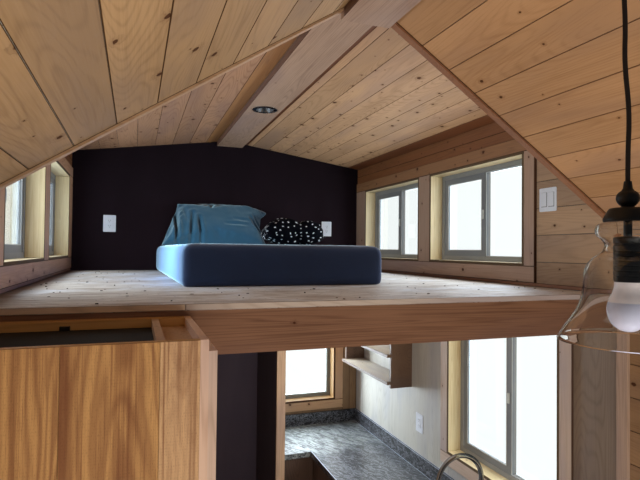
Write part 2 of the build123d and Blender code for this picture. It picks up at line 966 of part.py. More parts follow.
# Cap: socket on a short holder, spun dome, ball and the stem that grips the cord
cap_z = deck_top + cap_bottom
crown_z = cap_z + cap_height
stem_z = crown_z + ball_height
cord_foot = stem_z + stem_height
socket_z = cap_z - holder_length
socket_bottom = socket_z - socket_length
cap_outline = [
    (0, cord_foot),
    (stem_radius, cord_foot),
    (stem_foot, stem_z),
    (ball_radius, stem_z - ball_height / 3),
    (ball_radius, crown_z + ball_height / 3),
    (ball_neck, crown_z),
    (cap_crown, crown_z),
    (cap_radius, cap_z),
    (holder_radius, cap_z),
    (holder_radius, socket_z),
    (socket_radius, socket_z),
    (socket_radius, socket_bottom),
    (0, socket_bottom),
]
finish(turned(cap_outline), "pendant_cap")

# The blown shade, from the bead under the cap down to the wide rim
shade_outside = [(radius, cap_z - fit - drop) for radius, drop in shade_bead + shade_bell]
shade_inside = [(radius - shade_wall, z) for radius, z in reversed(shade_outside)]
finish(turned(shade_outside + shade_inside), "pendant_shade")

# Bulb: a short collar, then an egg-shaped globe that is faceted down its profile
bulb_middle = socket_bottom - bulb_length + bulb_half_height
globe_start = acos(bulb_neck / bulb_radius)
bulb_outline = [(0, socket_bottom), (bulb_neck, socket_bottom)]
for k in range(bulb_facets + 1):
    angle = globe_start - (globe_start + pi / 2) * k / bulb_facets
    bulb_outline.append((bulb_radius * cos(angle), bulb_middle + bulb_half_height * sin(angle)))
finish(turned(bulb_outline), "pendant_bulb")

# Lamp cord: straight runs joined by the widest arcs that they allow
cord_points = [Vector(0, pendant_y, canopy_bottom)]
cord_points += [Vector(x, pendant_y, deck_top + z) for x, z in cord_bends]
cord_points += [Vector(0, pendant_y, cord_foot + cord_stub), Vector(0, pendant_y, cord_foot)]


def bend_radii(points):
    radii = []
    for before, corner, after in zip(points, points[1:], points[2:]):
        first, second = corner - before, after - corner
        turn = radians(first.get_angle(second))
        radii.append(0.45 * min(first.length, second.length) / tan(turn / 2))
    return radii


print("cord radii", [round(radius) for radius in bend_radii(cord_points)])
with BuildPart() as pendant_cord:
    with BuildLine():
        route = FilletPolyline(*cord_points, radius=bend_radii(cord_points))
    with BuildSketch(Plane(route @ 0, z_dir=route % 0)):
        Circle(cord_diameter / 2)
    sweep()
finish(pendant_cord.part, "pendant_cord")
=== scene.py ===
import json
import math
import random

import bmesh
import bpy
from mathutils import Matrix, Vector, noise

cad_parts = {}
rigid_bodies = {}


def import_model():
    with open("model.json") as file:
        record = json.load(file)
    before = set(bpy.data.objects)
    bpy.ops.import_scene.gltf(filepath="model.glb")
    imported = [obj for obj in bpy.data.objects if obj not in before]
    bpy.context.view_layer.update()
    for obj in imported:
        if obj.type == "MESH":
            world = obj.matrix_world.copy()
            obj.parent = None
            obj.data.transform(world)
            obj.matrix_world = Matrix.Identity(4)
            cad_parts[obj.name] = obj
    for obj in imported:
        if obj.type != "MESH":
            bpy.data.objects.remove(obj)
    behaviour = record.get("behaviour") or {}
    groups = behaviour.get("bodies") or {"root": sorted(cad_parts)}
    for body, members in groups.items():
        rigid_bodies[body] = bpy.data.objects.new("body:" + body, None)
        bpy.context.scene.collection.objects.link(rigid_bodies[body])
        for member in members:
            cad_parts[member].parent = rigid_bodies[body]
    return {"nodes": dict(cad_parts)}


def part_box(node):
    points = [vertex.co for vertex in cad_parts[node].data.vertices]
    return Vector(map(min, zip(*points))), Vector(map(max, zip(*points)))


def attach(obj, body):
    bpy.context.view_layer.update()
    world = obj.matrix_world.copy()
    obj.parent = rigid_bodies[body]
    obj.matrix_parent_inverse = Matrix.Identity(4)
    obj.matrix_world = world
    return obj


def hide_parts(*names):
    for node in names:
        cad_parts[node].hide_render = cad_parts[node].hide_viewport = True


bl_info = {
    "name": "Sleeping loft end bay",
    "version": (1, 0, 0),
    "blender": (4, 5, 0),
    "location": "3D View > Sidebar > Loft house",
    "description": "Boards, windows, kitchen, bed and hanging lamp of a small timber house",
    "category": "Object",
}

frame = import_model()

X, Y, Z = (1, 0, 0), (0, 1, 0), (0, 0, 1)
TO_FRONT = (0, -1, 0)

# The house's own planes, in metres
HALF_IN = 1.165
HALF_OUT = 1.295
FRONT = -1.250
BACK = 2.609
BACK_OUT = BACK + 0.130
BACK_EDGE = BACK - 0.001
FLOOR = 0.150
COUNTER = FLOOR + 0.915
UNDER_LOFT = 2.231
DECK = 2.390
STEEP_TOP, STEEP_FALL, STEEP_MIDDLE = 3.430, 0.655, 0.020
DORMER_TOP, DORMER_FALL = 3.449, 0.142
LAMP_Y = -1.033
LINER = 0.014
LINER_DEPTH = 0.091
CASING = 0.016
CASING_WIDTH = 0.075
LOFT_CASING_FOOT, LOFT_CASING_HEAD = 2.409, 3.150
CEILING_SKIN = 0.003
WALL_SKIN = 0.0028
MULLION = 0.140


def loft_windows():
    """The two openings in a loft wall as (start, sill, end, head), along the house and upward."""
    low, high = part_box("left_window_frames")
    width = (high[1] - low[1] - MULLION) / 2
    return ((low[1], low[2], low[1] + width, high[2]), (high[1] - width, low[2], high[1], high[2]))


LOFT_WINDOWS = loft_windows()
TALL_WINDOW = (
    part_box("tall_window_casing")[0][1] + CASING_WIDTH,
    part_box("right_window_frames")[0][2],
    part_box("tall_window_casing")[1][1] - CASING_WIDTH,
    2.210,
)
END_WINDOW = (0.415, 1.264, 0.954, 2.200)
SIDES = ((-1, "left"), (1, "right"))


def steep(x):
    """Height of the steep ceiling over the front room."""
    return STEEP_TOP - STEEP_FALL * abs(x - STEEP_MIDDLE)


def dormer(x):
    """Height of the low ceiling over the loft."""
    return DORMER_TOP - DORMER_FALL * abs(x)


def linear(code):
    """Scene colour of a screen colour written as six hex digits."""
    parts = [int(code[i : i + 2], 16) / 255 for i in (0, 2, 4)]
    return tuple(c / 12.92 if c <= 0.04045 else ((c + 0.055) / 1.055) ** 2.4 for c in parts) + (1.0,)


def colours(**codes):
    """Named scene colours."""
    return {name: linear(code) for name, code in codes.items()}


# Shader nodes and finishes


class Nodes:
    """Adds shader nodes to one tree. Most methods return the output of the node they add."""

    def __init__(self, tree):
        self.tree = tree

    def fill(self, socket, value):
        """Puts a value or another node's output into an input."""
        if isinstance(value, bpy.types.NodeSocket):
            self.tree.links.new(value, socket)
        elif value is not None:
            socket.default_value = value

    def node(self, kind, inputs=(), **settings):
        made = self.tree.nodes.new("ShaderNode" + kind)
        for key, value in settings.items():
            setattr(made, key, value)
        for key, value in dict(inputs).items():
            self.fill(made.inputs[key], value)
        return made

    def math(self, operation, *values, clamp=False):
        return self.node("Math", dict(enumerate(values)), operation=operation, use_clamp=clamp).outputs[0]

    def times(self, a, b):
        return self.math("MULTIPLY", a, b)

    def times_plus(self, a, b, c, clamp=False):
        return self.math("MULTIPLY_ADD", a, b, c, clamp=clamp)

    def vector(self, operation, a, b):
        return self.node("VectorMath", {0: a, 1: b}, operation=operation).outputs[0]

    def mix(self, amount, a, b, mode="MIX"):
        return self.node("Mix", {0: amount, 6: a, 7: b}, data_type="RGBA", blend_type=mode).outputs[2]

    def step(self, value, low, high, start=0.0, stop=1.0):
        """A smooth step from start to stop while the value goes from low to high."""
        inputs = {"Value": value, "From Min": low, "From Max": high, "To Min": start, "To Max": stop}
        return self.node("MapRange", inputs, interpolation_type="SMOOTHSTEP").outputs["Result"]

    def sized(self, where, size):
        """A place and its scale; a size for each axis stretches the place."""
        return (self.vector("MULTIPLY", where, size), 1.0) if isinstance(size, tuple) else (where, size)

    def cloud(self, where, size, detail=2.0, rough=0.5, warp=0.0):
        where, scale = self.sized(where, size)
        inputs = {"Vector": where, "Scale": scale, "Detail": detail, "Roughness": rough, "Distortion": warp}
        return self.node("TexNoise", inputs).outputs["Fac"]

    def cells(self, where, size, scatter=1.0, flat="2D"):
        """Distance to the nearest of many scattered points, and three chances drawn for each point."""
        where, scale = self.sized(where, size)
        inputs = {"Vector": where, "Scale": scale, "Randomness": scatter}
        found = self.node("TexVoronoi", inputs, voronoi_dimensions=flat).outputs
        return found["Distance"], self.node("SeparateColor", {"Color": found["Color"]}).outputs

    def own_place(self, given, reach):
        """The place on a board, moved so that each board has its own figure."""
        seed = self.node("CombineXYZ", {i: self.times(given["Board"], r) for i, r in enumerate(reach)})
        return self.vector("ADD", given["Place"], seed.outputs[0])


def effect(name, **inputs):
    """A shared shader effect, built once: the builder returns its colour, roughness and height."""

    def shared(build):
        def group():
            if name in bpy.data.node_groups:
                return bpy.data.node_groups[name]
            tree = bpy.data.node_groups.new(name, "ShaderNodeTree")
            for label, value in inputs.items():
                kind = "Vector" if value is None else "Color" if isinstance(value, tuple) else "Float"
                label, kind = label.replace("_", " "), "NodeSocket" + kind
                socket = tree.interface.new_socket(name=label, in_out="INPUT", socket_type=kind)
                if value is not None:
                    socket.default_value = value
            for label, kind in (("Color", "Color"), ("Roughness", "Float"), ("Height", "Float")):
                tree.interface.new_socket(name=label, in_out="OUTPUT", socket_type="NodeSocket" + kind)
            n = Nodes(tree)
            made = build(n, tree.nodes.new("NodeGroupInput").outputs)
            result = tree.nodes.new("NodeGroupOutput")
            for socket, value in zip(result.inputs, made):
                n.fill(socket, value)
            return tree

        return group

    return shared


GREY = (0.5, 0.5, 0.5, 1.0)
JOINT_BROWN = (0.034, 0.011, 0.002, 1.0)


@effect(
    "Timber grain", Place=None, Board=0.5, Joint=0.0, Pale=GREY, Deep=GREY, Knot=GREY, Cool=GREY,
    Cool_share=0.4, Knots=0.2, Rings=250.0, Figure=0.5, Fibre=0.5, Tone=0.2, Matt=0.45, Width=5.5, Seam=0.9,
)  # fmt: skip
def timber(n, given):
    """Sawn boards with knots, growth rings, fibres, cooler stains and dark joints."""
    where = n.own_place(given, (37.0, 11.0, 5.0))
    # knots: one chance in each cell, with an uneven outline
    distance, chance = n.cells(where, (6.4, 8.5, 8.5), 0.95)
    present = n.math("LESS_THAN", chance[0], given["Knots"])
    size = n.times_plus(n.math("POWER", chance[1], 3.0), 0.075, 0.022)
    uneven = n.times_plus(n.cloud(where, (70.0, 110.0, 110.0), 2.0, 0.6), 1.3, 0.35)
    reach = n.times(n.math("DIVIDE", distance, size), uneven)
    heart = n.times(n.step(reach, 1.15, 0.75), present)
    halo = n.times(n.step(reach, 3.6, 0.8), present)
    # growth rings: contours of a drawn-out noise, bulging round the knots
    squeeze = n.node("CombineXYZ", {0: 0.55, 1: given["Width"], 2: given["Width"]}).outputs[0]
    ground = n.cloud(n.vector("MULTIPLY", where, squeeze), 1.0, 1.0, 0.4)
    waver = n.cloud(where, (5.0, 26.0, 26.0), 2.0, 0.5)
    phase = n.times_plus(waver, 0.020, n.times_plus(halo, 0.026, ground))
    wave = n.math("SINE", n.times(phase, given["Rings"]))
    late = n.math("POWER", n.times_plus(wave, 0.5, 0.5), 3.4)
    fibre = n.cloud(where, (7.0, 330.0, 330.0), 3.0, 0.6)
    patch = n.cloud(where, (1.3, 5.0, 5.0), 4.0, 0.6)
    streak = n.cloud(where, (2.2, 75.0, 75.0), 3.0, 0.6)
    figure = n.times(late, given["Figure"])
    for source, middle, share in ((fibre, 0.5, given["Fibre"]), (patch, 0.46, 1.1), (streak, 0.5, 0.55)):
        figure = n.times_plus(n.math("SUBTRACT", source, middle), share, figure)
    figure = n.times_plus(halo, 0.34, figure, clamp=True)
    colour = n.mix(figure, given["Pale"], given["Deep"])
    aside = n.vector("ADD", where, (5.0, 2.0, 1.0))
    cool = n.step(n.cloud(aside, (0.9, 3.6, 3.6), 3.0, 0.55), 0.46, 0.66)
    colour = n.mix(n.times(cool, given["Cool share"]), colour, given["Cool"])
    tone = n.times_plus(n.math("SUBTRACT", given["Board"], 0.5), given["Tone"], 1.0)
    shade = n.node("CombineColor", {"Red": tone, "Green": tone, "Blue": tone}).outputs[0]
    colour = n.mix(1.0, colour, shade, "MULTIPLY")
    colour = n.mix(n.times(heart, 0.9), colour, given["Knot"])
    seam = n.times(given["Joint"], given["Seam"])
    colour = n.mix(seam, colour, given["Knot"])
    colour = n.mix(n.times(seam, 0.75), colour, JOINT_BROWN)
    rough = n.times_plus(fibre, 0.22, given["Matt"])
    rough = n.times_plus(n.math("MAXIMUM", heart, given["Joint"]), 0.6, rough)
    return colour, rough, n.times_plus(late, 0.45, n.times(fibre, 0.55))


@effect(
    "Sliced veneer", Place=None, Board=0.5, Joint=0.0, Gold=GREY, Middle=GREY, Red=GREY, Seam=GREY, Pale=GREY
)
def sliced(n, given):
    """Veneer with long golden and reddish streaks, pointed arches, fine fibres and short pores."""
    where = n.own_place(given, (23.0, 7.0, 3.0))
    wave = n.math("SINE", n.times(n.cloud(where, (1.5, 7.0, 7.0), 2.0, 0.5, 0.6), 80.0))
    arch = n.math("POWER", n.times_plus(wave, 0.5, 0.5), 1.6)
    band = n.cloud(where, (0.7, 17.0, 17.0), 3.0, 0.55, 0.4)
    streak = n.cloud(where, (3.0, 85.0, 85.0), 4.0, 0.62)
    fibre = n.cloud(where, (11.0, 520.0, 520.0), 3.0, 0.65)
    thin = n.cloud(n.vector("ADD", where, (3.0, 1.0, 0.0)), (2.0, 160.0, 160.0), 3.0, 0.6)
    paler = n.math("GREATER_THAN", given["Board"], 0.9)
    colour = n.mix(n.step(band, 0.40, 0.60), given["Gold"], given["Middle"])
    colour = n.mix(n.step(streak, 0.48, 0.62, 0.0, 0.75), colour, given["Gold"])
    colour = n.mix(n.times(paler, 0.62), colour, given["Pale"])
    for share in (
        n.times(arch, n.times_plus(paler, -0.34, 0.50)),
        n.step(band, 0.56, 0.68, 0.0, 0.75),
        n.step(thin, 0.55, 0.68, 0.0, 0.6),
        n.step(fibre, 0.50, 0.70, 0.0, 0.5),
    ):
        colour = n.mix(share, colour, given["Red"])
    distance, chance = n.cells(where, (150.0, 1100.0, 1100.0))
    pore = n.times(n.step(distance, 0.42, 0.18), n.math("LESS_THAN", chance[0], 0.30))
    for share in (n.times(pore, 0.30), n.times(given["Joint"], 0.8)):
        colour = n.mix(share, colour, given["Seam"])
    return colour, n.times_plus(fibre, 0.25, 0.34), n.math("SUBTRACT", fibre, pore)


@effect(
    "Woven cloth", Place=None, Threads=350.0, Cloth=GREY, Thread=GREY, Worn=GREY, Dots=30.0, Dotted=0.0,
    Dot=GREY,
)  # fmt: skip
def woven(n, given):
    """Cloth with slubs and worn places and, where asked, dots."""
    where = given["Place"]
    threads = {"Vector": where, "Scale": given["Threads"], "Distortion": 0.6}
    warp, weft = (n.node("TexWave", threads, bands_direction=way).outputs["Fac"] for way in "XY")
    weave = n.times(n.math("ADD", warp, weft), 0.5)
    colour = n.mix(n.times(weave, 0.35), given["Cloth"], given["Thread"])
    colour = n.mix(n.times(n.cloud(where, 90.0, 3.0, 0.65), 0.35), colour, given["Thread"])
    colour = n.mix(n.step(n.cloud(where, 5.0, 3.0, 0.55), 0.45, 0.75), colour, given["Worn"])
    sway = n.node("TexNoise", {"Vector": where, "Scale": 45.0, "Detail": 1.0}).outputs["Color"]
    sway = n.vector("MULTIPLY", n.vector("ADD", sway, (-0.5, -0.5, -0.5)), (0.016, 0.016, 0.0))
    distance = n.cells(n.vector("ADD", where, sway), given["Dots"], 0.6)[0]
    spot = n.times(n.step(distance, 0.155, 0.115), given["Dotted"])
    return n.mix(spot, colour, given["Dot"]), n.times_plus(weave, 0.08, 0.84), weave


@effect("Marbled laminate", Place=None, Dark=GREY, Brown=GREY, Vein=GREY, Film=GREY, Gloss=0.05)
def marbled(n, given):
    """Dark laminate with drifting veins and grains, with a pale painted reflection of the end window on the
    counter's top near it.
    """
    where = given["Place"]
    turned = n.node("VectorRotate", {"Vector": where, "Angle": -0.5}, rotation_type="Z_AXIS").outputs[0]
    drawn = n.vector("MULTIPLY", turned, (6.5, 1.7, 6.5))
    vein = n.math("ABSOLUTE", n.math("SUBTRACT", n.cloud(drawn, 5.0, 7.0, 0.66, 0.9), 0.5))
    drift = n.step(n.cloud(drawn, 2.2, 5.0, 0.62, 0.8), 0.42, 0.58)
    colour = n.mix(drift, given["Dark"], given["Brown"])
    grain = n.step(n.cloud(where, 160.0, 2.0, 0.7), 0.60, 0.74)
    for share in (n.times(n.step(vein, 0.045, 0.0), 0.8), grain):
        colour = n.mix(share, colour, given["Vein"])
    across, along, up = n.node("SeparateXYZ", {"Vector": where}).outputs
    # painted reflection of the end window: pale on the counter's top near it, broken into patches
    painted_reflection = n.times(n.step(along, 1.85, 2.15), n.step(up, COUNTER + 0.004, COUNTER + 0.001))
    painted_reflection = n.times(painted_reflection, n.step(across, 0.95, 0.55, 0.35, 1.0))
    reflection_patches = n.cloud(n.vector("MULTIPLY", turned, (9.0, 2.0, 9.0)), 4.0, 5.0, 0.7, 1.2)
    colour = n.mix(n.times(painted_reflection, n.step(reflection_patches, 0.40, 0.62, 0.05, 0.75)), colour, given["Film"])
    dust = n.cloud(where, 14.0, 4.0, 0.6)
    return colour, n.times_plus(dust, 0.22, given["Gloss"]), dust


@effect("Worn metal", Place=None, Brush=None, Bright=GREY, Dull=GREY, Rough=0.2)
def worn_metal(n, given):
    """Metal with fine brush marks and dull smears."""
    streak = n.cloud(n.vector("MULTIPLY", given["Place"], given["Brush"]), 1.0, 3.0, 0.6)
    smear = n.cloud(given["Place"], 13.0, 3.0, 0.55)
    colour = n.mix(n.times(streak, 0.5), given["Bright"], given["Dull"])
    colour = n.mix(n.step(smear, 0.52, 0.75, 0.0, 0.5), colour, given["Dull"])
    return colour, n.times_plus(streak, 0.10, n.times_plus(smear, 0.12, given["Rough"])), streak


@effect("Rolled paint", Place=None, Paint=GREY, Faded=GREY, Dust=GREY, Matt=0.6)
def rolled_paint(n, given):
    """Rolled paint, faded in bands and scuffed in places."""
    where = given["Place"]
    stipple = n.cloud(where, 260.0, 2.0, 0.6)
    roller = n.step(n.cloud(where, (9.0, 9.0, 2.5), 3.0, 0.5), 0.35, 0.7, 0.0, 0.55)
    scuff = n.step(n.cloud(where, 21.0, 5.0, 0.7), 0.66, 0.78, 0.0, 0.6)
    colour = n.mix(scuff, n.mix(roller, given["Paint"], given["Faded"]), given["Dust"])
    return colour, n.times_plus(stipple, 0.15, given["Matt"]), stipple


@effect("Dusty sheet", Place=None, Sheet=GREY, Stain=GREY, Dust=GREY, Speck=GREY, Edge=GREY, Flakes=0.4)
def dusty_sheet(n, given):
    """A raw sheet with long flakes, dust and specks, and a ragged brown band of painted shadow along the left
    wall.
    """
    where = given["Place"]
    fibre = n.cloud(where, (9.0, 150.0, 60.0), 4.0, 0.7)
    figure = n.cloud(where, (2.4, 17.0, 9.0), 4.0, 0.62, 0.5)
    dust = n.cloud(where, 2.2, 6.0, 0.66)
    chip = n.cells(where, (14.0, 34.0, 30.0), flat="3D")[1][0]
    colour = n.mix(n.times(chip, given["Flakes"]), given["Sheet"], given["Stain"])
    colour = n.mix(n.step(figure, 0.48, 0.70, 0.0, 0.75), colour, given["Stain"])
    colour = n.mix(n.step(fibre, 0.50, 0.72, 0.0, 0.5), colour, given["Stain"])
    colour = n.mix(n.step(dust, 0.46, 0.62, 0.0, 0.62), colour, given["Dust"])
    # painted shadow: a ragged brown band on the deck along the left wall, where the sill shades it
    shadow_reach = n.times_plus(figure, 0.16, n.node("SeparateXYZ", {"Vector": where}).outputs[0])
    colour = n.mix(n.step(shadow_reach, -0.93, -1.06, 0.0, 0.85), colour, given["Edge"])
    for size, share in ((34.0, 0.10), (70.0, 0.05)):
        distance, chance = n.cells(where, size)
        mark = n.times(n.step(distance, 0.15, 0.08), n.math("LESS_THAN", chance[1], share))
        colour = n.mix(n.times(mark, 0.85), colour, given["Speck"])
    return colour, n.times_plus(dust, 0.25, 0.5), fibre


# Which of a mesh's attributes feed an effect: its input, the attribute and the attribute's output
READ = {
    "board": (("Place", "grain", "Vector"), ("Board", "tone", "Fac"), ("Joint", "joint", "Fac")),
    "cloth": (("Place", "cut", "Vector"),),
}


def material(name, group, values, place="object", axes="XYZ", bump=0.1, depth=0.001, **constants):
    """A finish: one shared effect with its own values on a Principled shader."""
    if name in bpy.data.materials:
        return bpy.data.materials[name]
    made = bpy.data.materials.new(name)
    made.use_nodes = True
    made.node_tree.nodes.clear()
    n = Nodes(made.node_tree)
    shader = n.node("BsdfPrincipled", {key.replace("_", " "): value for key, value in constants.items()})
    n.node("OutputMaterial", {0: shader.outputs[0]})
    look = n.node("Group", values, node_tree=group)
    for label, key, kind in READ.get(place, ()):
        read = n.node("Attribute", attribute_name=key, attribute_type="GEOMETRY")
        n.fill(look.inputs[label], read.outputs[kind])
    if place == "object":
        where = n.node("TexCoord").outputs["Object"]
        if axes != "XYZ":
            parts = n.node("SeparateXYZ", {"Vector": where}).outputs
            where = n.node("CombineXYZ", {i: parts["XYZ".index(a)] for i, a in enumerate(axes)}).outputs[0]
        n.fill(look.inputs["Place"], where)
    n.fill(shader.inputs["Base Color"], look.outputs["Color"])
    n.fill(shader.inputs["Roughness"], look.outputs["Roughness"])
    if bump:
        rise = n.node("Bump", {"Height": look.outputs["Height"], "Strength": bump, "Distance": depth})
        n.fill(shader.inputs["Normal"], rise.outputs[0])
    return made


# Wood finishes: pale and deep colours, share of cells with a knot, contrast of the rings, tone from board to
# board, closeness of the rings, share of cooler stain
WIDE = 5.5
WOODS = {
    "ceiling pine left": ("b18e65", "765738", 0.60, 0.26, 0.20, WIDE, 0.5),
    "ceiling pine right": ("bc9067", "835730", 0.42, 0.16, 0.20, WIDE, 0.5),
    "low ceiling pine": ("bb936e", "7c5839", 0.80, 0.24, 0.26, WIDE, 0.5),
    "low ceiling pine left": ("b18666", "765037", 0.80, 0.34, 0.26, WIDE, 0.5),
    "border pine": ("a57345", "7d5333", 0.10, 0.34, 0.10, 14.0, 0.1),
    "border pine right painted shade": ("784523", "5a3118", 0.10, 0.34, 0.10, 14.0, 0.1),
    # Darker copy of the casing wood for the right head board: painted shade under the roof.
    "casing head painted shade": ("9a6e48", "6a4428", 0.40, 0.30, 0.15, 13.0, 0.2),
    "room board pine": ("ae8c69", "725436", 0.60, 0.22, 0.28, WIDE, 0.3),
    "wall board fir": ("82502b", "5b341a", 0.35, 0.34, 0.18, 13.0, 0.1),
    "kitchen corner fir": ("886a4a", "5f4530", 0.35, 0.34, 0.18, 13.0, 0.1),
    "casing pine": ("ae8f78", "805e47", 0.30, 0.24, 0.18, 11.0, 0.5),
    "left casing pine": ("c59773", "926343", 0.30, 0.24, 0.18, 11.0, 0.5),
    "kitchen casing pine": ("c8b19e", "93755e", 0.30, 0.24, 0.18, 11.0, 0.5),
    "end casing pine": ("c79f77", "946846", 0.30, 0.24, 0.18, 11.0, 0.5),
    "liner pine": ("e3cfa2", "b28b56", 0.16, 0.22, 0.18, 16.0, 0.15),
    "end liner pine": ("916e40", "71491e", 0.16, 0.22, 0.18, 16.0, 0.5),
    "trim pine": ("c09b78", "8f6a49", 0.10, 0.34, 0.15, 18.0, 0.5),
    "trim fir": ("96684a", "603c28", 0.08, 0.36, 0.15, 20.0, 0.5),
    "beam fir": ("89644c", "503223", 0.14, 0.40, 0.15, 24.0, 0.5),
    "box pine": ("af8e75", "74543f", 0.14, 0.34, 0.15, 10.0, 0.5),
    # Darker copy of the box wood for its side faces: painted shade.
    "box side painted shade": ("745341", "56392b", 0.10, 0.34, 0.15, WIDE, 0.5),
    "rail pine": ("cfa163", "a87d47", 0.00, 0.40, 0.10, 16.0, 0.2),
    "closet side pine": ("ddbaa1", "ae866e", 0.05, 0.36, 0.15, 18.0, 0.5),
    "strip pine": ("ba9e89", "8e725e", 0.08, 0.32, 0.15, 18.0, 0.5),
    "closet strip pine": ("d3b6a2", "a18470", 0.08, 0.32, 0.15, 18.0, 0.5),
    "post pine": ("d3ad8b", "a17d5f", 0.08, 0.32, 0.15, 18.0, 0.5),
    "stained ply": ("c1bdb2", "80766b", 0.00, 0.16, 0.10, WIDE, 0.4),
    "panel ply": ("8d7b6a", "6c5a4a", 0.04, 0.30, 0.12, WIDE, 0.5),
    "shelf pine": ("6f5644", "4c3526", 0.45, 0.50, 0.20, WIDE, 0.5),
    # Paler copy of the shelf wood for the shelves' tops: painted light.
    "shelf top pine painted light": ("d9cdb9", "b09d85", 0.10, 0.25, 0.12, WIDE, 0.5),
    "floor pine": ("ad8760", "795638", 0.20, 0.40, 0.30, WIDE, 0.5),
    "cabinet dark": ("624d41", "3b2d25", 0.04, 0.40, 0.15, WIDE, 0.5),
    "siding grey": ("b9b2a0", "968e7b", 0.08, 0.25, 0.10, WIDE, 0.2),
    "outside trim": ("d8d3c6", "c2bcac", 0.04, 0.18, 0.08, WIDE, 0.1),
    "shaded edge": ("d9c3ac", "a38d75", 0.00, 0.40, 0.15, WIDE, 0.5),
    "end grain": ("c4b5a8", "a69382", 0.00, 0.40, 0.15, WIDE, 0.5),
}


def wood(name, axes=""):
    """A wood finish for laid boards or, with axes, for a solid: along its grain, across it and through it."""
    pale, deep, knots, figure, tone, width, stain = WOODS[name]
    light = linear(pale)
    values = {
        "Pale": light, "Deep": linear(deep), "Knot": linear("452312"),
        "Cool": (light[0] * 0.60, light[1] * 0.64, light[2] * 0.88, 1.0), "Cool share": stain,
        "Rings": 250.0 if width == WIDE else 1900.0 / width, "Width": width, "Figure": figure, "Tone": tone,
        "Knots": knots * bpy.context.scene.loft_boards.knots,
        "Seam": 0.5 if name == "ceiling pine right" else 0.9,
    }  # fmt: skip
    place, title = ("object", f"{name} {axes}") if axes else ("board", name)
    shine = 0.12 if "ceiling" in name else 0.5
    return material(title, timber(), values, place, axes or "XYZ", 0.35, 0.0006, Specular_IOR_Level=shine)


def veneer():
    """The closet's front, oiled."""
    values = colours(Gold="c89860", Middle="a4764a", Red="7d4e32", Seam="44291a", Pale="dcb58c")
    return material("closet veneer", sliced(), values, "board", bump=0.25, depth=0.0004)


def cloth(name, colour, thread, worn, dotted=0.0, sheen=0.35, shine=0.2):
    """A cloth whose weave and dots follow the piece as it was cut."""
    values = colours(Cloth=colour, Thread=thread, Worn=worn, Dot="e9edf2")
    values.update(Dotted=dotted, Dots=25.0, Threads=170.0)
    gloss = {"Sheen_Weight": sheen, "Sheen_Roughness": 0.5, "Specular_IOR_Level": shine}
    return material(name, woven(), values, "cloth", bump=0.35, depth=0.0006, **gloss)


def paint(name, colour, faded, dust, matt=0.6):
    values = {**colours(Paint=colour, Faded=faded, Dust=dust), "Matt": matt}
    return material(name, rolled_paint(), values, bump=0.12, depth=0.0004, Specular_IOR_Level=0.3)


def metal(name, bright, dull, rough, brush=(60.0, 60.0, 3.0), metallic=1.0, bump=0.05):
    values = {**colours(Bright=bright, Dull=dull), "Rough": rough, "Brush": brush}
    return material(name, worn_metal(), values, bump=bump, depth=0.0003, Metallic=metallic)


def glass(name, tint):
    """Clear glass that lets the daylight through: shadow rays pass the pane."""
    values = {**colours(Bright=tint, Dull=tint), "Rough": 0.0, "Brush": (1.0, 1.0, 1.0)}
    made = material(name, worn_metal(), values, bump=0.0, Metallic=0.0, Transmission_Weight=1.0, IOR=1.45)
    n = Nodes(made.node_tree)
    kinds = ("BSDF_PRINCIPLED", "OUTPUT_MATERIAL")
    shader, output = (next(m for m in n.tree.nodes if m.type == kind) for kind in kinds)
    n.tree.links.remove(shader.inputs["Roughness"].links[0])
    shader.inputs["Roughness"].default_value = 0.0
    clear = n.node("BsdfTransparent", {"Color": (0.96, 0.97, 0.97, 1.0)})
    shadow = n.node("LightPath").outputs["Is Shadow Ray"]
    both = n.node("MixShader", {0: shadow, 1: shader.outputs[0], 2: clear.outputs[0]})
    n.fill(output.inputs[0], both.outputs[0])
    return made


# Pieces, boards and turned shapes


def hand_over(obj, slot_name, finish, replaced=()):
    """A finished piece rides with the house, takes its finish and stands for the solids it replaces."""
    if obj.name not in bpy.context.scene.collection.all_objects:
        bpy.context.scene.collection.objects.link(obj)
    obj.data.materials.clear()
    obj.data.materials.append(finish)
    if replaced:
        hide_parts(*replaced)
    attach(obj, "root")
    return obj


def coat(finish, *nodes):
    """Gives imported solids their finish."""
    for name in nodes:
        obj = frame["nodes"][name]
        obj.data.materials.clear()
        obj.data.materials.append(finish)


def smooth(obj, angle=35):
    obj.data.polygons.foreach_set("use_smooth", [True] * len(obj.data.polygons))
    obj.data.set_sharp_from_angle(angle=math.radians(angle))
    return obj


def inset(outline, margin):
    """A convex outline, anticlockwise, with every edge moved in by a margin."""
    result = []
    for i, corner in enumerate(outline):
        before = (corner - outline[i - 1]).normalized()
        after = (outline[(i + 1) % len(outline)] - corner).normalized()
        first, second = Vector((-before.y, before.x)), Vector((-after.y, after.x))
        result.append(corner + (first + second) * (margin / max(1 + first.dot(second), 0.3)))
    return result


def clip(outline, normal, limit):
    """The part of a convex outline on the inner side of a line: normal . point <= limit."""
    kept = []
    for i, point in enumerate(outline):
        before = outline[i - 1]
        a, b = normal.dot(before) - limit, normal.dot(point) - limit
        if (a > 1e-9) != (b > 1e-9):
            kept.append(before + (point - before) * (a / (a - b)))
        if b <= 1e-9:
            kept.append(point)
    apart = [p for i, p in enumerate(kept) if (p - kept[i - 1]).length > 1e-5]
    return apart if len(apart) > 2 else []


def rectangle(u0, v0, u1, v1):
    return [Vector((u0, v0)), Vector((u1, v0)), Vector((u1, v1)), Vector((u0, v1))]


def strip_of(outline, low, high, axis=1):
    """The part of a convex outline between two values of one axis."""
    up = Vector((0, 1)) if axis else Vector((1, 0))
    part = clip(outline, -up, -low)
    return clip(part, up, high) if part else []


# Further out than any board, in metres
FAR = 99


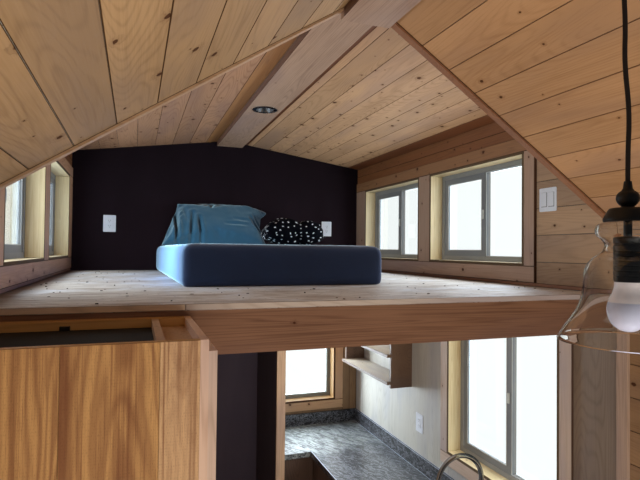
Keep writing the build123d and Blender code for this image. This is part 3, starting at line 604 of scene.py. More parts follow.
def without(outline, hole):
    """The convex pieces left when the box hole = (u0, v0, u1, v1) is cut out of an outline."""
    u0, v0, u1, v1 = hole
    middle = strip_of(outline, u0, u1, 0)
    if not middle or not strip_of(middle, v0, v1):
        return [outline]
    beside = [strip_of(outline, -FAR, u0, 0), strip_of(outline, u1, FAR, 0)]
    return [part for part in beside + [strip_of(middle, -FAR, v0), strip_of(middle, v1, FAR)] if part]


class Boards:
    """Boards on one flat face, joined in one mesh. Each keeps its own grain, tone and joints."""

    def __init__(self, origin, along, across, out, seed):
        self.origin, self.along, self.across, self.out = (Vector(v) for v in (origin, along, across, out))
        self.flip = self.along.cross(self.across).dot(self.out) < 0
        self.chance = random.Random(seed)
        self.points, self.faces, self.grain, self.tones, self.joints = [], [], [], [], []

    def lay(self, outline, thickness, start=0.0, bevel=0.0015, tone=None, crossed=False):
        """One board, its back at height start over the face."""
        if len(outline) < 3:
            return
        tone = self.chance.random() if tone is None else tone
        jump = (self.chance.uniform(0, 9), self.chance.uniform(0, 5), self.chance.uniform(0, 2))
        top = start + thickness
        rings = [(outline, start), (outline, top - bevel), (inset(outline, bevel), top)]
        first = len(self.points)
        flat = []
        for ring, height in rings:
            for p in ring:
                flat.append((p.x, p.y, height))
                self.points.append(self.origin + self.along * p.x + self.across * p.y + self.out * height)
        n = len(outline)
        faces = [(tuple(reversed(range(n))), 0.4), (tuple(range(2 * n, 3 * n)), 0.0)]
        for i in range(n):
            j = (i + 1) % n
            faces.append(((i, j, n + j, n + i), 0.85))
            faces.append(((n + i, n + j, 2 * n + j, 2 * n + i), 0.75))
        for corners, joint in faces:
            corners = tuple(reversed(corners)) if self.flip else corners
            self.faces.append(tuple(first + c for c in corners))
            for c in corners:
                u, v, h = flat[c]
                u, v = (v, u) if crossed else (u, v)
                self.grain.extend((u + jump[0], v + jump[1], h + jump[2]))
            self.tones.append(tone)
            self.joints.append(joint)

    def cover(self, region, edges, thickness, gap=0.001, bevel=0.002, holes=(), butts=(), start=0.0):
        """Courses between the given edges, clipped to a region, cut round holes and butted where asked."""
        for low, high in zip(edges, edges[1:]):
            course = strip_of(region, low + gap / 2, high - gap / 2)
            if not course:
                continue
            pieces = [course]
            for hole in holes:
                pieces = [p for piece in pieces for p in without(piece, hole)]
            cuts = [u for u, chosen in butts if chosen == low]
            for u in cuts:
                halves = [(strip_of(p, -FAR, u - gap, 0), strip_of(p, u + gap, FAR, 0)) for p in pieces]
                pieces = [half for pair in halves for half in pair if half]
            tone = self.chance.random()
            for piece in pieces:
                self.lay(piece, thickness, start, bevel, tone if not cuts else None)

    def piece(self, name, slot_name, finish, replaced=()):
        mesh = bpy.data.meshes.new(name)
        mesh.from_pydata([tuple(p) for p in self.points], [], self.faces)
        mesh.attributes.new("grain", "FLOAT_VECTOR", "CORNER").data.foreach_set("vector", self.grain)
        mesh.attributes.new("tone", "FLOAT", "FACE").data.foreach_set("value", self.tones)
        mesh.attributes.new("joint", "FLOAT", "FACE").data.foreach_set("value", self.joints)
        mesh.update()
        return hand_over(bpy.data.objects.new(name, mesh), slot_name, finish, replaced)


def spun(name, outline, x, y, steps=48, closed=False):
    """A turned piece: outline of (radius, height) in metres, spun about a standing axis at x, y."""
    points, faces = [], []
    count = len(outline)
    for i in range(steps):
        turn = 2 * math.pi * i / steps
        points += [(x + r * math.cos(turn), y + r * math.sin(turn), z) for r, z in outline]
    spans = count if closed else count - 1
    for i in range(steps):
        a, b = i * count, (i + 1) % steps * count
        for k in range(spans):
            m = (k + 1) % count
            faces.append((a + k, b + k, b + m, a + m))
    if not closed:
        if outline[0][0] > 1e-6:
            faces.append(tuple(i * count for i in reversed(range(steps))))
        if outline[-1][0] > 1e-6:
            faces.append(tuple(i * count + count - 1 for i in range(steps)))
    mesh = bpy.data.meshes.new(name)
    mesh.from_pydata(points, [], faces)
    return smooth(bpy.data.objects.new(name, mesh_tidy(mesh)), 40)


def mesh_tidy(mesh):
    """Merges doubled points, such as those on a turning axis."""
    work = bmesh.new()
    work.from_mesh(mesh)
    bmesh.ops.remove_doubles(work, verts=work.verts, dist=1e-6)
    bmesh.ops.dissolve_degenerate(work, edges=work.edges, dist=1e-6)
    bmesh.ops.recalc_face_normals(work, faces=work.faces)
    work.to_mesh(mesh)
    work.free()
    return mesh


def curved(points, steps=4):
    """Points of a smooth line through the given (radius, height) pairs."""
    result = []
    count = len(points)
    for i in range(count - 1):
        a, b = Vector(points[i]), Vector(points[i + 1])
        before = Vector(points[i - 1]) if i else a
        after = Vector(points[i + 2]) if i + 2 < count else b
        for k in range(steps):
            t = k / steps
            square, cube = 2 * before - 5 * a + 4 * b - after, 3 * a - before - 3 * b + after
            p = 0.5 * (2 * a + (b - before) * t + square * t * t + cube * t**3)
            result.append((max(p.x, 0.0), p.y))
    result.append(tuple(points[-1]))
    return result


def joined_boards(sets):
    """Several faces' boards as one."""
    whole = sets[0]
    for more in sets[1:]:
        first = len(whole.points)
        whole.points += more.points
        whole.faces += [tuple(first + c for c in face) for face in more.faces]
        whole.grain += more.grain
        whole.tones += more.tones
        whole.joints += more.joints
    return whole


def slope_face(side, top, fall, middle, seed):
    """Boards for one side of a ceiling: u runs along the house, v down the slope from the ridge line."""
    tilt = math.atan(fall)
    across = (side * math.cos(tilt), 0, -math.sin(tilt))
    out = (-side * math.sin(tilt), 0, -math.cos(tilt))
    return Boards((middle, 0, top), Y, across, out, seed), math.cos(tilt)


def wall_face(side, seed):
    """Boards on a wall's inner face, v upward: -1 and 1 are the side walls, 0 is the end wall."""
    if side == 0:
        return Boards((0, BACK, 0), X, Z, TO_FRONT, seed)
    return Boards((side * HALF_IN, 0, 0), Y, Z, (-side, 0, 0), seed)


def front_face(y, seed):
    """Boards on an upright face that looks to the front: u runs to the right, v upward."""
    return Boards((0, y, 0), X, Z, TO_FRONT, seed)


def level_face(z, seed):
    """Boards on a level face: u runs into the house, v to the right."""
    return Boards((0, 0, z), Y, X, Z, seed)


# What a user may change


class LoftBoards(bpy.types.PropertyGroup):
    cover: bpy.props.FloatProperty(
        name="Board cover", description="Visible width of a ceiling board",
        default=0.1316, min=0.05, max=0.25, unit="LENGTH",
    )  # fmt: skip
    groove: bpy.props.FloatProperty(
        name="Groove", description="Half width of the groove between boards",
        default=0.0015, min=0.0005, max=0.006, unit="LENGTH",
    )  # fmt: skip
    knots: bpy.props.FloatProperty(
        name="Knots", description="How many knots the boards have",
        default=1.0, min=0.0, max=3.0, subtype="FACTOR",
    )  # fmt: skip
    siding: bpy.props.FloatProperty(
        name="Siding cover", description="Visible width of an outside board",
        default=0.140, min=0.08, max=0.25, unit="LENGTH",
    )  # fmt: skip


class LoftFinish(bpy.types.PropertyGroup):
    end_wall: bpy.props.FloatVectorProperty(
        name="End wall", description="Paint of the wall behind the bed",
        default=linear("1a1116"), size=4, min=0, max=1, subtype="COLOR",
    )  # fmt: skip


class LoftBed(bpy.types.PropertyGroup):
    pillow_fill: bpy.props.FloatProperty(
        name="Pillow fill", description="How full the long pillow is",
        default=0.55, min=0.2, max=1.0, subtype="FACTOR",
    )  # fmt: skip
    corner: bpy.props.FloatProperty(
        name="Mattress corner", description="Radius of the mattress corners",
        default=0.032, min=0.01, max=0.09, unit="LENGTH",
    )  # fmt: skip


class LoftStage(bpy.types.PropertyGroup):
    daylight: bpy.props.FloatProperty(
        name="Daylight", description="Strength of the light at the windows",
        default=1.0, min=0.0, max=5.0, subtype="FACTOR",
    )  # fmt: skip
    room_light: bpy.props.FloatProperty(
        name="Room light", description="Strength of the light from the open front",
        default=1.0, min=0.0, max=5.0, subtype="FACTOR",
    )  # fmt: skip


# The steps, each with what it alone needs


def hang(name, light, where, aim):
    """Puts a light in its place, turned to a direction."""
    holder = bpy.data.objects.new(name, light)
    holder.location = where
    holder.rotation_euler = Vector(aim).to_track_quat("-Z", "Y").to_euler()
    bpy.context.scene.collection.objects.link(holder)
    return holder


def lamp(name, where, aim, size, power, colour, mirrored=True):
    """A light of a given width and height, which glossy surfaces mirror unless told otherwise."""
    light = bpy.data.lights.new(name, "AREA")
    light.shape, light.size, light.size_y = "RECTANGLE", size[0], size[1]
    light.energy, light.color = power, colour
    holder = hang(name, light, where, aim)
    holder.visible_camera = holder.visible_transmission = False
    holder.visible_glossy = mirrored
    return holder


def daylight(name, side, window, watts, mirrored=True):
    """Light over an opening in a side wall or, with side 0, in the end wall: watts for a square metre."""
    u0, v0, u1, v1 = window
    u, v = (u0 + u1) / 2, (v0 + v1) / 2
    where = (side * (HALF_OUT + 0.002), u, v) if side else (u, BACK_OUT + 0.002, v)
    aim = (-side, 0, 0) if side else TO_FRONT
    power = watts * (u1 - u0) * (v1 - v0) * bpy.context.scene.loft_stage.daylight
    lamp(name, where, aim, (u1 - u0, v1 - v0), power, (0.80, 0.90, 1.0), mirrored)


class LOFT_OT_stage(bpy.types.Operator):
    """Camera, daylight and the pale floor the house stands on"""

    bl_idname = "loft.stage"
    bl_label = "Stage"

    def execute(self, context):
        settings = context.scene.loft_stage
        self.camera(context.scene)
        self.sky(context.scene, 0.22 * settings.room_light)
        ground = Boards((0, 0.7, 0), X, Y, Z, 1)
        ring = [Vector((math.cos(t), math.sin(t))) * 2.75 for t in (math.tau * i / 96 for i in range(96))]
        ground.lay(ring, 0.001, -0.002, 0.0004, 0.5)
        floor = ground.piece("ground", "outside_trim", paint("ground", "e6e6e4", "dededc", "e2e2e0"))
        self.lights(settings, floor)
        return {"FINISHED"}

    def camera(self, scene):
        """The photo's camera, with its turn, lift and roll in degrees."""
        data = bpy.data.cameras.new("View")
        data.lens, data.sensor_width, data.clip_start = 29.05, 36.0, 0.02
        camera = bpy.data.objects.new("View", data)
        scene.collection.objects.link(camera)
        turn, lift, roll = (math.radians(a) for a in (19.72, 1.15, 0.61))
        ahead = Vector((math.sin(turn) * math.cos(lift), math.cos(turn) * math.cos(lift), math.sin(lift)))
        level = Vector((math.cos(turn), -math.sin(turn), 0))
        upright = level.cross(ahead)
        right = level * math.cos(roll) + upright * math.sin(roll)
        up = upright * math.cos(roll) - level * math.sin(roll)
        spot = Matrix((right, up, -ahead)).transposed().to_4x4()
        spot.translation = (-0.708, -1.616, 2.558)
        camera.matrix_world = spot
        scene.camera = camera
        scene.view_settings.view_transform = "Standard"

    def sky(self, scene, strength):
        """A pale sky that shows white to the camera, a little brighter through the panes."""
        world = bpy.data.worlds.new("Soft daylight")
        scene.world = world
        world.use_nodes = True
        world.node_tree.nodes.clear()
        n = Nodes(world.node_tree)
        path = n.node("LightPath").outputs
        bounces = n.math("ADD", path["Diffuse Depth"], path["Glossy Depth"])
        through = n.times(path["Is Transmission Ray"], n.math("LESS_THAN", bounces, 0.5))
        seen = n.math("MAXIMUM", path["Is Camera Ray"], through)
        white = n.node("Background", {"Color": (1, 1, 1, 1), "Strength": n.times_plus(through, 0.18, 1.0)})
        dimmer = n.times_plus(path["Is Glossy Ray"], -0.75 * strength, strength)
        sky = n.node("Background", {"Color": (0.86, 0.93, 1.0, 1), "Strength": dimmer})
        both = n.node("MixShader", {0: seen, 1: sky.outputs[0], 2: white.outputs[0]})
        n.node("OutputWorld", {0: both.outputs[0]})

    def lights(self, settings, floor):
        """Daylight at the windows and over the outside, and soft light from the room and onto the bed."""
        for (side, name), watts in zip(SIDES, (30.0, 36.0)):
            for number, (window, share) in enumerate(zip(LOFT_WINDOWS, (1.08, 0.80)), 1):
                daylight(f"{name} daylight {number}", side, window, watts * share)
        daylight("kitchen daylight", 1, TALL_WINDOW, 48.0, False)
        daylight("end daylight", 0, END_WINDOW, 92.0)
        power = 5.6 * settings.room_light
        pale = (1.0, 0.96, 0.93)
        lamp("light below the loft", (0.05, 0.55, 2.17), (0.05, 0.5, -1), (0.7, 0.7), power, pale, False)
        outside = bpy.data.collections.new("outside")
        power = 330.0 * settings.daylight
        for number, (x, y) in enumerate(((-5.5, 0.5), (5.5, 0.5), (0.0, 8.0), (0.0, -6.5)), 1):
            where, aim = (x, y, 4.2), (-x, 0.7 - y, -2.8)
            over = lamp(f"outside light {number}", where, aim, (4.0, 3.0), power, (1.0, 0.99, 0.97), False)
            over.light_linking.receiver_collection = outside
        outside.objects.link(floor)
        power = 46.0 * settings.room_light
        lamp("room light", (0.0, -2.0, 1.1), (0, 0.28, 1), (2.2, 1.4), power, (1.0, 0.93, 0.84), False)
        beam = bpy.data.lights.new("bed daylight", "SPOT")
        beam.energy, beam.color = 250.0 * settings.daylight, (0.44, 0.82, 1.0)
        beam.spot_size, beam.spot_blend, beam.shadow_soft_size = 2.5, 1.0, 0.12
        holder = hang("bed daylight", beam, (-1.13, 1.25, 2.66), (0.62, 0.18, -0.12))
        holder.light_linking.receiver_collection = bpy.data.collections.new("bedding")


class LOFT_OT_cord(bpy.types.Operator):
    """The lamp's cord, from the ridge board down to its cap"""

    bl_idname = "loft.cord"
    bl_label = "Lamp cord"

    def execute(self, context):
        route = [
            (0, 3.3158), (0, 3.258), (-0.006, 3.180), (-0.007, 3.090), (-0.011, 3.000),
            (-0.004, 2.912), (-0.007, 2.852), (0.004, 2.775), (0, 2.709), (0, 2.669),
        ]  # fmt: skip
        data = bpy.data.curves.new("lamp_cord", "CURVE")
        data.dimensions = "3D"
        data.bevel_depth, data.bevel_resolution, data.resolution_u = 0.0035, 5, 12
        line = data.splines.new("NURBS")
        line.points.add(len(route) - 1)
        for point, (x, z) in zip(line.points, route):
            point.co = (x, LAMP_Y, z, 1)
        line.order_u = 3
        line.use_endpoint_u = True
        obj = bpy.data.objects.new("lamp_cord", data)
        values = {**colours(Cloth="1b1512", Thread="2b221d", Worn="231b17"), "Threads": 420.0}
        hand_over(obj, "black_cord", material("braided cord", woven(), values, bump=0.3), ("pendant_cord",))
        return {"FINISHED"}


class LOFT_OT_ceilings(bpy.types.Operator):
    """Grooved boards on the four slopes, the ridge boxing, the trim on the cut edge and a dark strip of
    painted shadow beside it
    """

    bl_idname = "loft.ceilings"
    bl_label = "Ceilings"

    def execute(self, context):
        boards = context.scene.loft_boards
        under_box, border_width = 0.03, 0.104
        # each side's first joint, as a distance down the slope from the ridge line
        for (side, name), first in zip(SIDES, (0.0158, 0.1295)):
            face, run = slope_face(side, STEEP_TOP, STEEP_FALL, STEEP_MIDDLE, 11 + side)
            reach = (HALF_IN - side * STEEP_MIDDLE) / run - 0.001
            edges = [first + boards.cover * i for i in range(11)]
            edges = [under_box] + [e for e in edges if under_box + 0.02 < e < reach - 0.02] + [reach]
            face.cover(rectangle(FRONT, under_box, -0.004, reach), edges, CEILING_SKIN, bevel=boards.groove)
            face.piece(f"steep_ceiling_boards_{name}", "pine", wood(f"ceiling pine {name}"))
        for (side, name), first in zip(SIDES, (0.184, 0.203)):
            face, run = slope_face(side, DORMER_TOP, DORMER_FALL, 0, 21 + side)
            reach = HALF_IN / run - 0.001
            low = 0.118 if side > 0 else 0.094
            edges = [first + boards.cover * i for i in range(9)]
            edges = [low] + [e for e in edges if low + 0.02 < e < reach - 0.10] + [reach]
            butts = [(0.62, edges[4]), (1.40, edges[6])] if side < 0 else []
            strip = 0.158 if side > 0 else edges[1]
            edges[0] = strip
            area = rectangle(0.002, strip, BACK_EDGE, reach)
            face.cover(area, edges, CEILING_SKIN, bevel=boards.groove * 0.8, butts=butts)
            finish = wood("low ceiling pine" if side > 0 else "low ceiling pine left")
            face.piece(f"low_ceiling_boards_{name}", "pine", finish)
            border, run = slope_face(side, DORMER_TOP, DORMER_FALL, 0, 25 + side)
            if side > 0:
                inner = reach - border_width
                area = rectangle(0.002, inner, BACK_EDGE, reach)
                border.cover(area, [inner, reach], 0.0045, bevel=0.001)
            border.cover(rectangle(0.002, low, BACK_EDGE, strip), [low, strip], 0.0035, bevel=0.001)
            # The right border boards' deeper brown is partly their own darker wood and partly painted shade
            # along the wall and ridge.
            finish = wood("border pine" if side < 0 else "border pine right painted shade")
            border.piece(f"ridge_border_{name}", "pine", finish)
        coat(wood("box pine", "YXZ"), "ridge_box", "ridge_board")
        left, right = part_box("ridge_box")[0][0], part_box("ridge_board")[0][0]
        # Skins on the boxing's side faces in a darker wood: painted shade on these faces.
        for name, x, y0, y1, z0, z1, seed in (
            ("ridge_box_side", left, 0.001, BACK_EDGE, 3.3985, dormer(left) - 0.004, 27),
            ("ridge_board_side", right, FRONT + 0.001, -0.031, 3.3415, steep(right) - 0.004, 28),
        ):
            edge = Boards((x, 0, 0), Y, Z, (-1, 0, 0), seed)
            edge.lay(rectangle(y0, z0, y1, z1), 0.0015, bevel=0.0008)
            edge.piece(name, "pine", wood("box side painted shade"))
        # A thin dark strip on the steep ceiling beside each trim: painted shadow of the gap between trim and
        # boards.
        for side, name in SIDES:
            gap, run = slope_face(side, STEEP_TOP, STEEP_FALL, STEEP_MIDDLE, 29)
            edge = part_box(f"ceiling_trim_{name}")[0][1]
            reach = (HALF_IN - side * STEEP_MIDDLE) / run - 0.002
            gap.lay(rectangle(edge - 0.0035, 0.09, edge + 0.0005, reach), 0.0008, 0.0028, 0.0002)
            brown = paint(f"gap brown {name}", "2e1a10", "26150d", "352015")
            gap.piece(f"gap_along_trim_{name}", "fir", brown)
        coat(wood("trim pine", "XYZ"), "ceiling_trim_left")
        coat(wood("trim fir", "XYZ"), "ceiling_trim_right")
        slopes = ("main_roof_left", "main_roof_right", "dormer_roof_left", "dormer_roof_right")
        coat(wood("siding grey", "YZX"), *slopes)
        coat(wood("siding grey", "XZY"), "dormer_cheek_left", "dormer_cheek_right")
        coat(metal("downlight metal", "a9acaf", "5c5e60", 0.16), "downlight")
        return {"FINISHED"}


class LOFT_OT_walls(bpy.types.Operator):
    """Boards on the side walls and the paint of the end wall"""

    bl_idname = "loft.walls"
    bl_label = "Inner walls"

    def execute(self, context):
        cover = context.scene.loft_boards.cover
        groove = context.scene.loft_boards.groove
        low_end, casing_start = FLOOR + 0.003, LOFT_WINDOWS[0][0] - CASING_WIDTH
        eaves = dormer(HALF_IN) - 0.004
        for side, name in SIDES:
            face = wall_face(side, 31 + side)
            top = steep(side * HALF_IN) - 0.004
            edges = [low_end - 0.010 + cover * i for i in range(30)]
            face.cover(rectangle(FRONT, low_end, -0.001, top), edges, WALL_SKIN, bevel=groove)
            area = rectangle(0.0, DECK + 0.001, casing_start - 0.001, eaves)
            face.cover(area, edges, WALL_SKIN, bevel=groove)
            if side < 0:
                face.cover(rectangle(0.0, low_end, BACK, UNDER_LOFT - 0.002), edges, WALL_SKIN, bevel=groove)
            face.piece(f"wall_boards_{name}", "pine", wood("room board pine"))
            foot = wall_face(side, 43 + side)
            low, high = DECK + 0.0005, LOFT_CASING_FOOT - 0.0005
            foot.cover(rectangle(0.0, low, BACK_EDGE, high), [low, high], 0.011, bevel=0.0015)
            foot.piece(f"foot_strip_{name}", "pine", wood("trim fir"))
            over = wall_face(side, 41 + side)
            foot = LOFT_CASING_HEAD - 0.001
            area = rectangle(casing_start, foot, BACK_EDGE, eaves)
            over.cover(area, [foot, 3.2085, eaves], 0.008, bevel=groove)
            over.piece(f"boards_over_windows_{name}", "pine", wood("wall board fir"))
        kitchen = wall_face(1, 47)
        split = [0.196, 1.2505, 2.470, BACK_EDGE]
        for low, high in zip(split, split[1:]):
            for part in without(rectangle(low, 1.068, high - 0.001, UNDER_LOFT - 0.001), TALL_WINDOW):
                kitchen.lay(part, WALL_SKIN, 0.0, 0.0005, crossed=True)
        kitchen.cover(rectangle(-0.03, FLOOR + 0.003, BACK - 0.02, 1.02), [FLOOR + 0.003, 1.02], 0.002)
        kitchen.piece("kitchen_wall_sheets", "plywood", wood("stained ply"))
        corner = Boards((0, BACK, 0), Z, X, TO_FRONT, 49)
        area = rectangle(1.166, 1.030, UNDER_LOFT - 0.001, 1.158)
        corner.cover(area, [1.030, 1.094, 1.158], 0.004, bevel=0.0012)
        corner.cover(rectangle(1.166, 0.331, 1.188, 1.030), [0.331, 1.030], 0.004, bevel=0.0012)
        corner.piece("kitchen_corner_boards", "pine", wood("kitchen corner fir"))
        coat(wood("panel ply", "YZX"), "left_wall", "right_wall")
        rgb = context.scene.loft_finish.end_wall
        values = {"Paint": tuple(rgb), **colours(Faded="1e141a", Dust="24191f"), "Matt": 0.75}
        relief = {"bump": 0.15, "depth": 0.0004, "Specular_IOR_Level": 0.08}
        coat(material("end wall paint", rolled_paint(), values, **relief), "end_wall")
        coat(paint("partition paint", "45404b", "4d4753", "554f5b"), "partition")
        # A sheet on the end wall below the loft in a much paler copy of its dark paint: painted light in the
        # dim space under the loft.
        lower = wall_face(0, 50)
        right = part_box("partition")[0][0] - 0.001
        lower.lay(rectangle(-HALF_IN + 0.004, FLOOR + 0.004, right, UNDER_LOFT - 0.002), 0.002, 0, 0.0005)
        lower.piece("lower_end_sheet_painted_light", "dark_paint", paint("lower sheet painted light", "564e5c", "5d5563", "655c6b"))
        coat(wood("post pine", "ZXY"), "partition_post")
        coat(wood("strip pine", "ZYX"), "wall_strip")
        coat(wood("panel ply", "ZYX"), "wall_panel")
        return {"FINISHED"}


class LOFT_OT_floors(bpy.types.Operator):
    """The floor, the loft's deck and what carries it"""

    bl_idname = "loft.floors"
    bl_label = "Floors"

    def execute(self, context):
        floor = level_face(FLOOR, 51)
        floor_cover = 0.1163
        edges = [-HALF_IN + 0.001 + floor_cover * i for i in range(21)]
        floor.cover(rectangle(FRONT, edges[0], BACK_EDGE, edges[-1]), edges, 0.003, bevel=0.0012)
        floor.piece("floor_boards", "floor", wood("floor pine"))
        coat(wood("beam fir", "YZX"), "floor_platform")
        # The deck's Shading colour is painted shadow along the left wall.
        values = colours(Sheet="dcd6cd", Stain="8d735c", Dust="e4e8f0", Speck="3a3330", Edge="5b4334")
        values["Flakes"] = 0.5
        coat(material("deck sheet", dusty_sheet(), values, bump=0.3, depth=0.001), "loft_deck")
        crumbs = Boards((0, 0, DECK), X, Y, Z, 52)
        chance = random.Random(7)
        for _ in range(150):
            x, y = chance.uniform(-1.1, 1.1), chance.uniform(0.03, 2.5)
            if -0.60 < x < 0.52 and y > 0.60:
                continue
            spin = Matrix.Rotation(chance.uniform(0, math.tau), 2)
            a, b = chance.uniform(0.002, 0.006), chance.uniform(0.0012, 0.003)
            corners = ((-a, -b), (a, -b * 0.4), (a * 0.7, b), (-a * 0.8, b * 0.7))
            shape = [Vector((x, y)) + spin @ Vector(p) for p in corners]
            crumbs.lay(shape, chance.uniform(0.0012, 0.0035), 0.0002, 0.0005)
        crumbs.piece("deck_crumbs", "deck_board", paint("crumb brown", "3b2a20", "2d2019", "4c382b"))
        split = -0.560
        for name, u0, u1, finish, seed in (
            ("deck_edge", split + 0.0005, 1.1455, "end grain", 53),
            ("deck_edge_over_closet", -HALF_IN + 0.001, split - 0.0005, "shaded edge", 54),
        ):
            nosing = front_face(0, seed)
            nosing.lay(rectangle(u0, 2.372, u1, DECK + 0.0006), 0.0022, bevel=0.0008)
            nosing.piece(name, "deck_board", wood(finish))
        coat(wood("beam fir", "XZY"), "loft_beam")
        coat(wood("trim pine", "YZX"), "loft_ledgers", "loft_joists")
        return {"FINISHED"}


def casing(name, side, windows, outer, finish, replaced, seed, shaded_head_finish=None):
    """Boards on a wall round one or more windows; with a shaded head finish the head board is laid apart in a
    darker wood, as painted shade.
    """
    face = wall_face(side, seed)
    u0, v0, u1, v1 = outer
    bevel = 0.002
    low, high = windows[0][1], windows[0][3]
    face.lay(rectangle(u0, v0, u1, low - 0.0005), CASING, 0, bevel)
    head = wall_face(side, seed + 1) if shaded_head_finish else face
    head.lay(rectangle(u0, high + 0.0005, u1, v1), CASING, 0, bevel, 0.5)
    stops = [u0] + [u for w in windows for u in (w[0], w[2])] + [u1]
    for a, b in zip(stops[::2], stops[1::2]):
        if b - a > 0.02:
            face.lay(rectangle(a + 0.0005, low, b - 0.0005, high), CASING, 0, bevel, crossed=True)
    face.piece(name, "pine", wood(finish), (replaced,))
    if shaded_head_finish:
        head.piece(f"{name}_head", "pine", wood(shaded_head_finish))


class LOFT_OT_outside(bpy.types.Operator):
    """Horizontal siding and the seamed metal roof"""

    bl_idname = "loft.outside"
    bl_label = "Outside"

    def execute(self, context):
        cover = context.scene.loft_boards.siding
        edges = [FLOOR + 0.002 + cover * i for i in range(26)]
        lap = {"thickness": 0.009, "gap": 0.0008, "bevel": 0.004}
        eaves = dormer(HALF_OUT)
        for side, name in SIDES:
            wall = Boards((side * HALF_OUT, 0, 0), Y, Z, (side, 0, 0), 101 + side)
            holes = list(LOFT_WINDOWS) + ([TALL_WINDOW] if side > 0 else [])
            top = steep(side * HALF_OUT) - 0.006
            wall.cover(rectangle(FRONT, edges[0], -0.001, top), edges, holes=holes, **lap)
            wall.cover(rectangle(-0.001, edges[0], BACK_OUT, eaves - 0.006), edges, holes=holes, **lap)
            wall.piece(f"siding_{name}", "siding", wood("siding grey"))
        half = HALF_OUT
        gable = [(-half, FLOOR), (half, FLOOR), (half, eaves), (0, DORMER_TOP), (-half, eaves)]
        back = Boards((0, BACK_OUT, 0), X, Z, Y, 105)
        back.cover([Vector(p) for p in gable], edges, holes=[END_WINDOW], **lap)
        back.piece("siding_end", "siding", wood("siding grey"))
        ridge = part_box("dormer_roof_left")[1][2]
        cheeks = front_face(-0.110, 107)
        for side in (-1, 1):
            lower, upper = (ridge - fall * HALF_OUT for fall in (STEEP_FALL, DORMER_FALL))
            outline = [(0, ridge), (side * HALF_OUT, lower), (side * HALF_OUT, upper)]
            cheeks.cover([Vector(p) for p in outline[::side]], edges, **lap)
        cheeks.piece("siding_cheeks", "siding", wood("siding grey"))
        coat(wood("siding grey", "YZX"), "left_wall", "right_wall")
        coat(wood("outside trim", "ZYX"), "outside_casing_left", "outside_casing_right")
        coat(wood("outside trim", "ZXY"), "outside_casing_end")
        seams_apart, eaves_reach = 0.42, 1.318
        spans = ((STEEP_FALL, FRONT, -0.111, "main"), (DORMER_FALL, 0.0, BACK_OUT + 0.025, "low"))
        for side, name in SIDES:
            for fall, start, stop, label in spans:
                tilt = math.atan(fall)
                down = (side * math.cos(tilt), 0, -math.sin(tilt))
                out = (side * math.sin(tilt), 0, math.cos(tilt))
                roof = Boards((0, 0, ridge), Y, down, out, 111)
                reach = eaves_reach / math.cos(tilt)
                count = max(1, round((stop - start) / seams_apart))
                pitch = (stop - start) / count
                for i in range(count):
                    sheet = rectangle(start + pitch * i, 0.0, start + pitch * (i + 1), reach)
                    roof.lay(sheet, 0.0012, 0, 0.0004)
                for i in range(count + 1):
                    middle = min(max(start + pitch * i, start + 0.008), stop - 0.008)
                    roof.lay(rectangle(middle - 0.008, 0.03, middle + 0.008, reach), 0.016, 0, 0.003)
                roof.lay(rectangle(start, 0.0, stop, 0.085), 0.018, 0, 0.002)
                finish = metal("roof metal", "4a4b4f", "3b3c40", 0.42, metallic=0.4)
                roof.piece(f"roofing_{label}_{name}", "roofing", finish)
        lit = (
            "siding_", "roofing_", "outside_casing", "main_roof", "dormer_", "floor_platform", "left_wall",
            "right_wall", "left_window", "right_window", "end_window_frame", "end_wall",
        )  # fmt: skip
        for obj in context.scene.collection.all_objects:
            if obj.name.startswith(lit) and obj.type == "MESH":
                bpy.data.collections["outside"].objects.link(obj)
        return {"FINISHED"}


def liners(name, side, windows, finish, seeds):
    """Thin boards round each recess of a wall, from the casing's face to the frame."""
    sideways, deeper = (Y, (side, 0, 0)) if side else (X, Y)
    sets = []
    for u0, v0, u1, v1 in windows:
        for u, v, along, out, long in (
            (u0, v0, sideways, Z, u1 - u0),
            (u0, v1, sideways, (0, 0, -1), u1 - u0),
            (u0, v0, Z, sideways, v1 - v0),
            (u1, v0, Z, tuple(-c for c in sideways), v1 - v0),
        ):
            corner = (side * (HALF_IN - CASING), u, v) if side else (u, BACK - CASING, v)
            face = Boards(corner, along, deeper, out, next(seeds))
            trim = LINER if along is Z else 0.0
            face.lay(rectangle(trim, 0.0, long - trim, LINER_DEPTH), LINER, 0, 0.0015)
            sets.append(face)
    joined_boards(sets).piece(name, "pine", wood(finish))


def drawn_seeds(seed):
    """Seeds drawn one after the other."""
    chance = random.Random(seed)
    while True:
        yield chance.randint(0, 9999)


